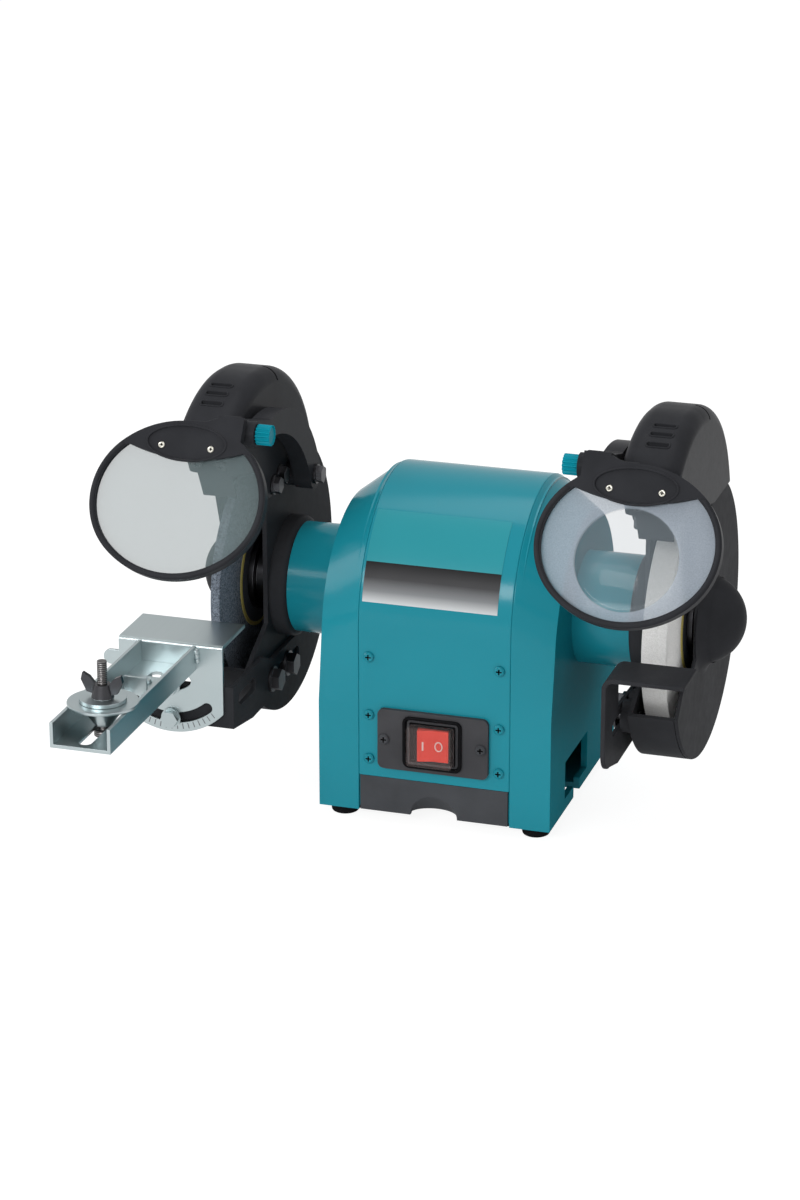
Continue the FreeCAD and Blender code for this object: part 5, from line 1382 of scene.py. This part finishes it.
@dataclass
class EyeShield(SubAssembly):
    """One eye shield with its arm, knob, frame, lens and screws."""

    title: str = "eye shield"
    side: Side = Side.LEFT
    across: float = 141.4
    tilt: float = 32.0
    drop: float = 49.0
    front: float = 14.5
    half: Pair = (56.5, 50.0)
    bead: float = 1.5
    bead_inset: float = 1.9
    bead_top: float = 31.5
    bead_sink: float = 0.2
    brow: Pair = (25.0, 10.6)
    brow_rise: float = 36.0
    brow_bead: float = 0.75
    brow_room: float = 0.6
    brow_sink: float = 0.1
    screw_rise: float = 33.5
    screw_across: float = 16.0
    head_depth: float = 14.9
    head_tall: float = 1.2
    head_share: float = 0.74
    head_edge: float = 2.0
    head_round: float = 0.25
    cross: float = 1.75
    knob_radius: float = 6.5
    knob_start: float = 92.3
    knob_end: float = 101.8
    knob_wall: float = 1.4
    knob_dish: float = 0.8
    knob_valley: float = 0.86
    valley_turn: float = 10.0
    knob_screw: float = 2.95
    hinge: Pair = (-121.0, 267.0)
    ribs: int = 16
    web_length: float = 33.0
    web_deep: float = 1.6
    web_thick: float = 4.0
    web_flat: Pair = (24.0, 6.8)
    web_foot: Pair = (8.0, 1.8)
    web_steps: int = 22
    web_sink: float = 0.05

    def model(self) -> None:
        """Build and dress the shield."""
        word = self.side.word
        lens = Look.LENS if self.side is Side.LEFT else Look.MAGNIFIER
        self.refine(Trim(f"{word}_shield_arm", Look.HOOD, 1.6, 3))
        self.refine(Trim(f"{word}_shield_frame", Look.HOOD, 1.7, 4), added=[*self.beads(), self.web()])
        self.lens_screws()
        self.refine(Trim(f"{word}_shield_lens", lens, 0.3))
        self.knob()

    def spot(self, across: float, front: float, up: float) -> Point:
        """A point of the shield's own face, in the object's frame.

        Args:
            across: the distance along X from the lens's middle.
            front: the distance in front of the hinge.
            up: the distance above the hinge.

        Returns:
            The point in millimetres.
        """
        lean = math.radians(self.tilt)
        return (self.side.value * self.across + across,
                self.hinge[0] - front * math.cos(lean) + up * math.sin(lean),
                self.hinge[1] + front * math.sin(lean) + up * math.cos(lean))

    @property
    def face(self) -> Point:
        """The turn from Z to the shield's face."""
        return (math.radians(90.0 - self.tilt), 0.0, 0.0)

    def beads(self) -> list[Piece]:
        """A round bead along the frame's rim and another round the panel of its brow.

        Returns:
            The beads.
        """
        bead = wire("bead", [size - self.bead_inset for size in self.half], self.bead)
        trim_off(bead, (0.0, self.bead_top, 0.0), (0.0, 1.0, 0.0), True)
        settle(bead, self.spot(0.0, self.front - self.bead_sink, -self.drop), self.face)
        panel = wire("panel", [size + self.brow_room for size in self.brow], self.brow_bead)
        settle(panel, self.spot(0.0, self.front - self.brow_sink, self.brow_rise - self.drop), self.face)
        return [bead, panel]

    def web(self) -> Piece:
        """A plate whose upper edge sweeps from the ear's flat top down to the brow.

        Returns:
            The plate.
        """
        rest()
        bpy.ops.mesh.primitive_grid_add(x_subdivisions=self.web_steps, y_subdivisions=1, size=MM)
        plate = named("web")
        plate.scale = (self.web_length, self.web_deep, 1.0)
        settle(plate, (-self.side.value * self.web_length / 2, -self.web_deep / 2, 0.0))
        (flat, top), (foot, low) = self.web_flat, self.web_foot
        for step in range(self.web_steps + 1):
            out = self.web_length * step / self.web_steps
            share = min(max((out - foot) / (flat - foot), 0.0), 1.0)
            rise = low + (top - low) * share * share * (3.0 - 2.0 * share)
            with edit(plate, Kind.VERTS, lambda at, _: at.y > -1.0 and near(abs(at.x), out)):
                bpy.ops.transform.translate(value=(0.0, rise * MM, 0.0))
        modify(plate, "SOLIDIFY", thickness=self.web_thick * MM, offset=-1.0)
        soften(plate, 1.3, 4)
        return settle(plate, self.spot(0.0, self.front - self.web_sink, 0.0), self.face)

    def lens_screws(self) -> None:
        """Bright screws with painted shade in their recesses."""
        node = f"{self.side.word}_shield_screws"
        piece = self.copy(node, plain=False)
        up = self.screw_rise - self.drop
        top = self.head_depth - self.head_tall * (1.0 - self.head_share)
        places = []
        for sign in SIGNS:
            seat = self.spot(sign * self.screw_across, self.head_depth - self.head_tall, up)
            with edit(piece, Kind.VERTS, lambda at, _: near(at.x, seat[0], self.screw_across)):
                bpy.ops.transform.resize(value=[self.head_share] * 3, center_override=metres(seat))
            places.append(self.spot(sign * self.screw_across, top, up))
        self.round_heads(piece, [(place, self.face) for place in places], self.head_edge * self.head_share,
                         self.head_round)
        normal = Vector(self.spot(0.0, 1.0, 0.0)) - Vector(self.spot(0.0, 0.0, 0.0))

        def in_cross(at: Vector) -> bool:
            """Whether a face lies in a head's recess."""
            offs = [at - Vector(place) for place in places]
            return any(off.length < self.cross * self.head_share and off.dot(normal) < -0.1 for off in offs)
        self.stand_in(piece, node, Look.BRIGHT, [(Look.RECESS, in_cross)])

    def knob(self) -> None:
        """A ribbed knob with a dished end, and the screw that it turns."""
        node = f"{self.side.word}_shield_knob"
        sign = self.side.value
        length = self.knob_end - self.knob_start
        middle = (sign * (self.knob_start + length / 2), *self.hinge)
        knob = drum("knob", self.knob_radius, length, middle, Way.X, self.ribs * 4)
        outer = sign * self.knob_start
        with edit(knob, Kind.FACES, lambda at, way: abs(way.x) > ALONG and near(at.x, outer)):
            bpy.ops.mesh.inset(thickness=self.knob_wall * MM)
            bpy.ops.transform.translate(value=(sign * self.knob_dish * MM, 0.0, 0.0))

        def valley(at: Vector, _: Vector) -> bool:
            """Whether a vertex lies between two ribs.

            Args:
                at: the vertex in millimetres.

            Returns:
                True between ribs.
            """
            along, up = at.y - self.hinge[0], at.z - self.hinge[1]
            turn = math.degrees(math.atan2(up, along)) % (360 / self.ribs)
            return math.hypot(along, up) > self.knob_radius - 0.1 and turn < self.valley_turn
        with edit(knob, Kind.VERTS, valley):
            bpy.ops.transform.resize(value=(1.0, self.knob_valley, self.knob_valley),
                                     center_override=metres(middle))
        soften(knob, 0.35, 2, 25.0)
        low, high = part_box(node)
        reach = (high.x - low.x) / MM - length
        screw = drum("screw", self.knob_screw, reach, (sign * (self.knob_end + reach / 2), *self.hinge),
                     Way.X, 32)
        soften(screw, 0.4)
        self.stand_in(merge(node + "_finished", [knob, screw]), node, Look.KNOB)


@dataclass
class ToolRests(SubAssembly):
    """The plain rest at the right and the tilting drill rest at the left."""

    title: str = "tool rests"
    trimmed: Sequence[Trim] = (
        Trim("right_rest", Look.BLACK, 0.7), Trim("left_rest_channel", Look.ZINC, 0.6),
        *(Trim(node, Look.ZINC, 0.4) for node in ("swivel_bolts", "clamp_dish", "drill_stop", "stop_screw")),
        Trim("clamp_stud", Look.STUD, 0.4))
    channel_sides: Pair = (-184.5, -145.5)
    apron_face: float = -120.2
    weld_heights: Point = (119.5, 116.6, 113.4)
    weld_sink: float = 0.9
    dab_size: float = 2.8
    dab_out: float = 0.5
    dab_step: float = 0.3
    dab_thin: float = 0.08
    dab_wide: float = 0.75
    dab_tall: float = 0.95
    washer_top: float = 127.75
    table_top: float = 124.0
    bend_round: float = 2.6
    edge_front: float = 68.0
    edge_run: float = 36.0
    slot_size: Point = (12.0, 32.0, 9.0)
    slot_middle: Point = (-123.5, -91.0, 84.0)

    def model(self) -> None:
        """Build the bracket, the table, the wing nut and the welds."""
        self.refine(Trim("left_rest_bracket", Look.BLACK, 0.7), self.raise_edge)
        self.refine(Trim("left_rest_table", Look.APRON, 0.7), self.bend)
        self.refine(Trim("wing_nut", Look.OXIDE, 0.9, 3),
                    extra=[(Look.ZINC, lambda at: at.z < self.washer_top)])
        self.welds()

    def raise_edge(self, piece: Piece) -> None:
        """Let the bracket's lower edge rise towards the apron, and cut the slot of its front.

        Args:
            piece: the bracket.
        """
        low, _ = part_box("left_rest_bracket")
        slope = math.atan2(self.edge_front - low.z / MM, self.edge_run)
        trim_off(piece, (0.0, low.y / MM, self.edge_front), (0.0, -math.sin(slope), -math.cos(slope)), True)
        slot = block("slot", self.slot_size, self.slot_middle)
        bevel(slot, lambda _, way: abs(way.x) > ALONG, self.slot_size[2] / 2 - 0.1, 8)
        carve(piece, slot)

    def bend(self, piece: Piece) -> None:
        """Round the bend between the table's top and its apron."""
        bevel(piece, lambda at, way: abs(way.x) > ALONG and near(at.z, self.table_top)
              and near(at.y, self.apron_face), self.bend_round, 5)

    def welds(self) -> None:
        """Two rough weld beads where the channel meets the apron, each of dabs that shrink downwards."""
        pieces = []
        for wall, out in zip(self.channel_sides, SIGNS):
            for index, height in enumerate(self.weld_heights):
                rest()
                across = wall + out * (self.dab_out + self.dab_step * index)
                bpy.ops.mesh.primitive_ico_sphere_add(
                    subdivisions=3, radius=(self.dab_size - self.dab_step * index) * MM,
                    location=metres((across, self.apron_face - self.weld_sink, height)),
                    scale=(self.dab_wide, 1.0 - self.dab_thin * index, self.dab_tall))
                dab = named("dab")
                bpy.ops.object.transform_apply()
                smooth(dab, 60.0)
                pieces.append(dab)
        self.fit(merge("weld_beads", pieces), Look.ZINC, "left_rest_channel")


@dataclass
class Studio:
    """Floor, lamps, background and camera.

    A lamp's values are its name, its place and its size in metres, and its power in watts.
    """

    camera_place: Point = (615.0, -2121.9, 940.2)
    azimuth: float = 17.36
    elevation: float = 20.2
    lens: float = 108.9
    sensor: float = 36.0
    clip_end: float = 50.0
    gloss_share: float = 0.4
    floor_size: float = 12.0
    floor_noise: Pair = (3.0, 2.0)
    floor_tones: Tones = ((0.3, 0.86), (0.7, 0.88))
    floor_glow: float = 1.26
    floor_share: float = 0.72
    surround: float = 0.45
    aim: Point = (0.0, -0.05, 0.13)
    lamps: tuple[tuple[str, Point, Pair, float], ...] = (
        ("key", (-0.35, -1.75, 0.95), (1.1, 0.4), 15.0), ("side", (-1.6, -0.5, 0.9), (0.9, 0.9), 7.0),
        ("top", (0.1, 0.3, 1.7), (1.2, 0.9), 8.0))

    def build(self) -> None:
        """Set up the studio."""
        self.camera()
        self.floor()
        self.world()
        for lamp in self.lamps:
            self.lamp(*lamp)

    def camera(self) -> None:
        """A long lens at the photograph's angle."""
        data = bpy.data.cameras.new("view")
        data.lens = self.lens
        data.sensor_width = self.sensor
        data.clip_end = self.clip_end
        camera = bpy.data.objects.new("view", data)
        bpy.context.scene.collection.objects.link(camera)
        camera.location = metres(self.camera_place)
        camera.rotation_euler = (math.radians(90.0 - self.elevation), 0.0, math.radians(self.azimuth))
        bpy.context.scene.camera = camera

    def seen(self, graph: Graph) -> Socket:
        """The share of a ray that meets plain white.

        Args:
            graph: the tree of the floor or the world.

        Returns:
            1 for camera and transmission rays, a share for glossy rays and 0 for others.
        """
        path = graph.node("LightPath").outputs
        gloss = graph.math("MULTIPLY", path["Is Glossy Ray"], self.gloss_share)
        clear = graph.math("MAXIMUM", gloss, path["Is Transmission Ray"])
        return graph.math("MAXIMUM", path["Is Camera Ray"], clear)

    def floor(self) -> None:
        """A pale floor that keeps the soft shadow."""
        rest()
        bpy.ops.mesh.primitive_plane_add(size=self.floor_size)
        floor = named("floor")
        graph = Graph("pale_floor")
        grain = graph.shades(graph.noise(*self.floor_noise), WHITE[:3], self.floor_tones)
        matt = graph.node("BsdfDiffuse", {"Color": grain})
        white = graph.node("Emission", {"Color": WHITE, "Strength": self.floor_glow})
        share = graph.math("MULTIPLY", self.seen(graph), self.floor_share)
        mixed = graph.node("MixShader", {0: share, 1: matt.outputs[0], 2: white.outputs[0]})
        floor.data.materials.append(graph.close(mixed))

    def world(self) -> None:
        """A white surround that lights the object gently."""
        graph = Graph("surround", world=True)
        soft, white = [graph.node("Background", {0: WHITE, 1: power}).outputs[0]
                       for power in (self.surround, 1.0)]
        mixed = graph.node("MixShader", {0: self.seen(graph), 1: soft, 2: white})
        bpy.context.scene.world = graph.close(mixed)

    def lamp(self, name: str, place: Point, size: Pair, power: float) -> None:
        """A soft box lamp that faces the object.

        Args:
            name: the lamp's name.
            place: its place in metres.
            size: its width and height in metres.
            power: its power in watts.
        """
        data = bpy.data.lights.new(name, "AREA")
        data.energy = power
        data.shape = "RECTANGLE"
        data.size, data.size_y = size
        lamp = bpy.data.objects.new(name, data)
        bpy.context.scene.collection.objects.link(lamp)
        lamp.location = place
        aim = Vector(self.aim) - Vector(place)
        lamp.rotation_euler = aim.to_track_quat("-Z", "Y").to_euler()


def main() -> None:
    """Build the grinder's looks in order and set the studio."""
    logging.basicConfig(level=logging.INFO, format="%(message)s")
    bpy.context.scene.view_settings.view_transform = "Standard"
    groups: Sequence[SubAssembly] = (
        Housing(), Switch(), Motor(), Wheels(), Guards(),
        EyeShield(side=Side.LEFT), EyeShield(side=Side.RIGHT), ToolRests())
    for group in groups:
        group.build()
        LOG.info("%s: %d finished pieces", group.title, len(group.made))
    Studio().build()
    rest()


if __name__ == "__main__":
    main()
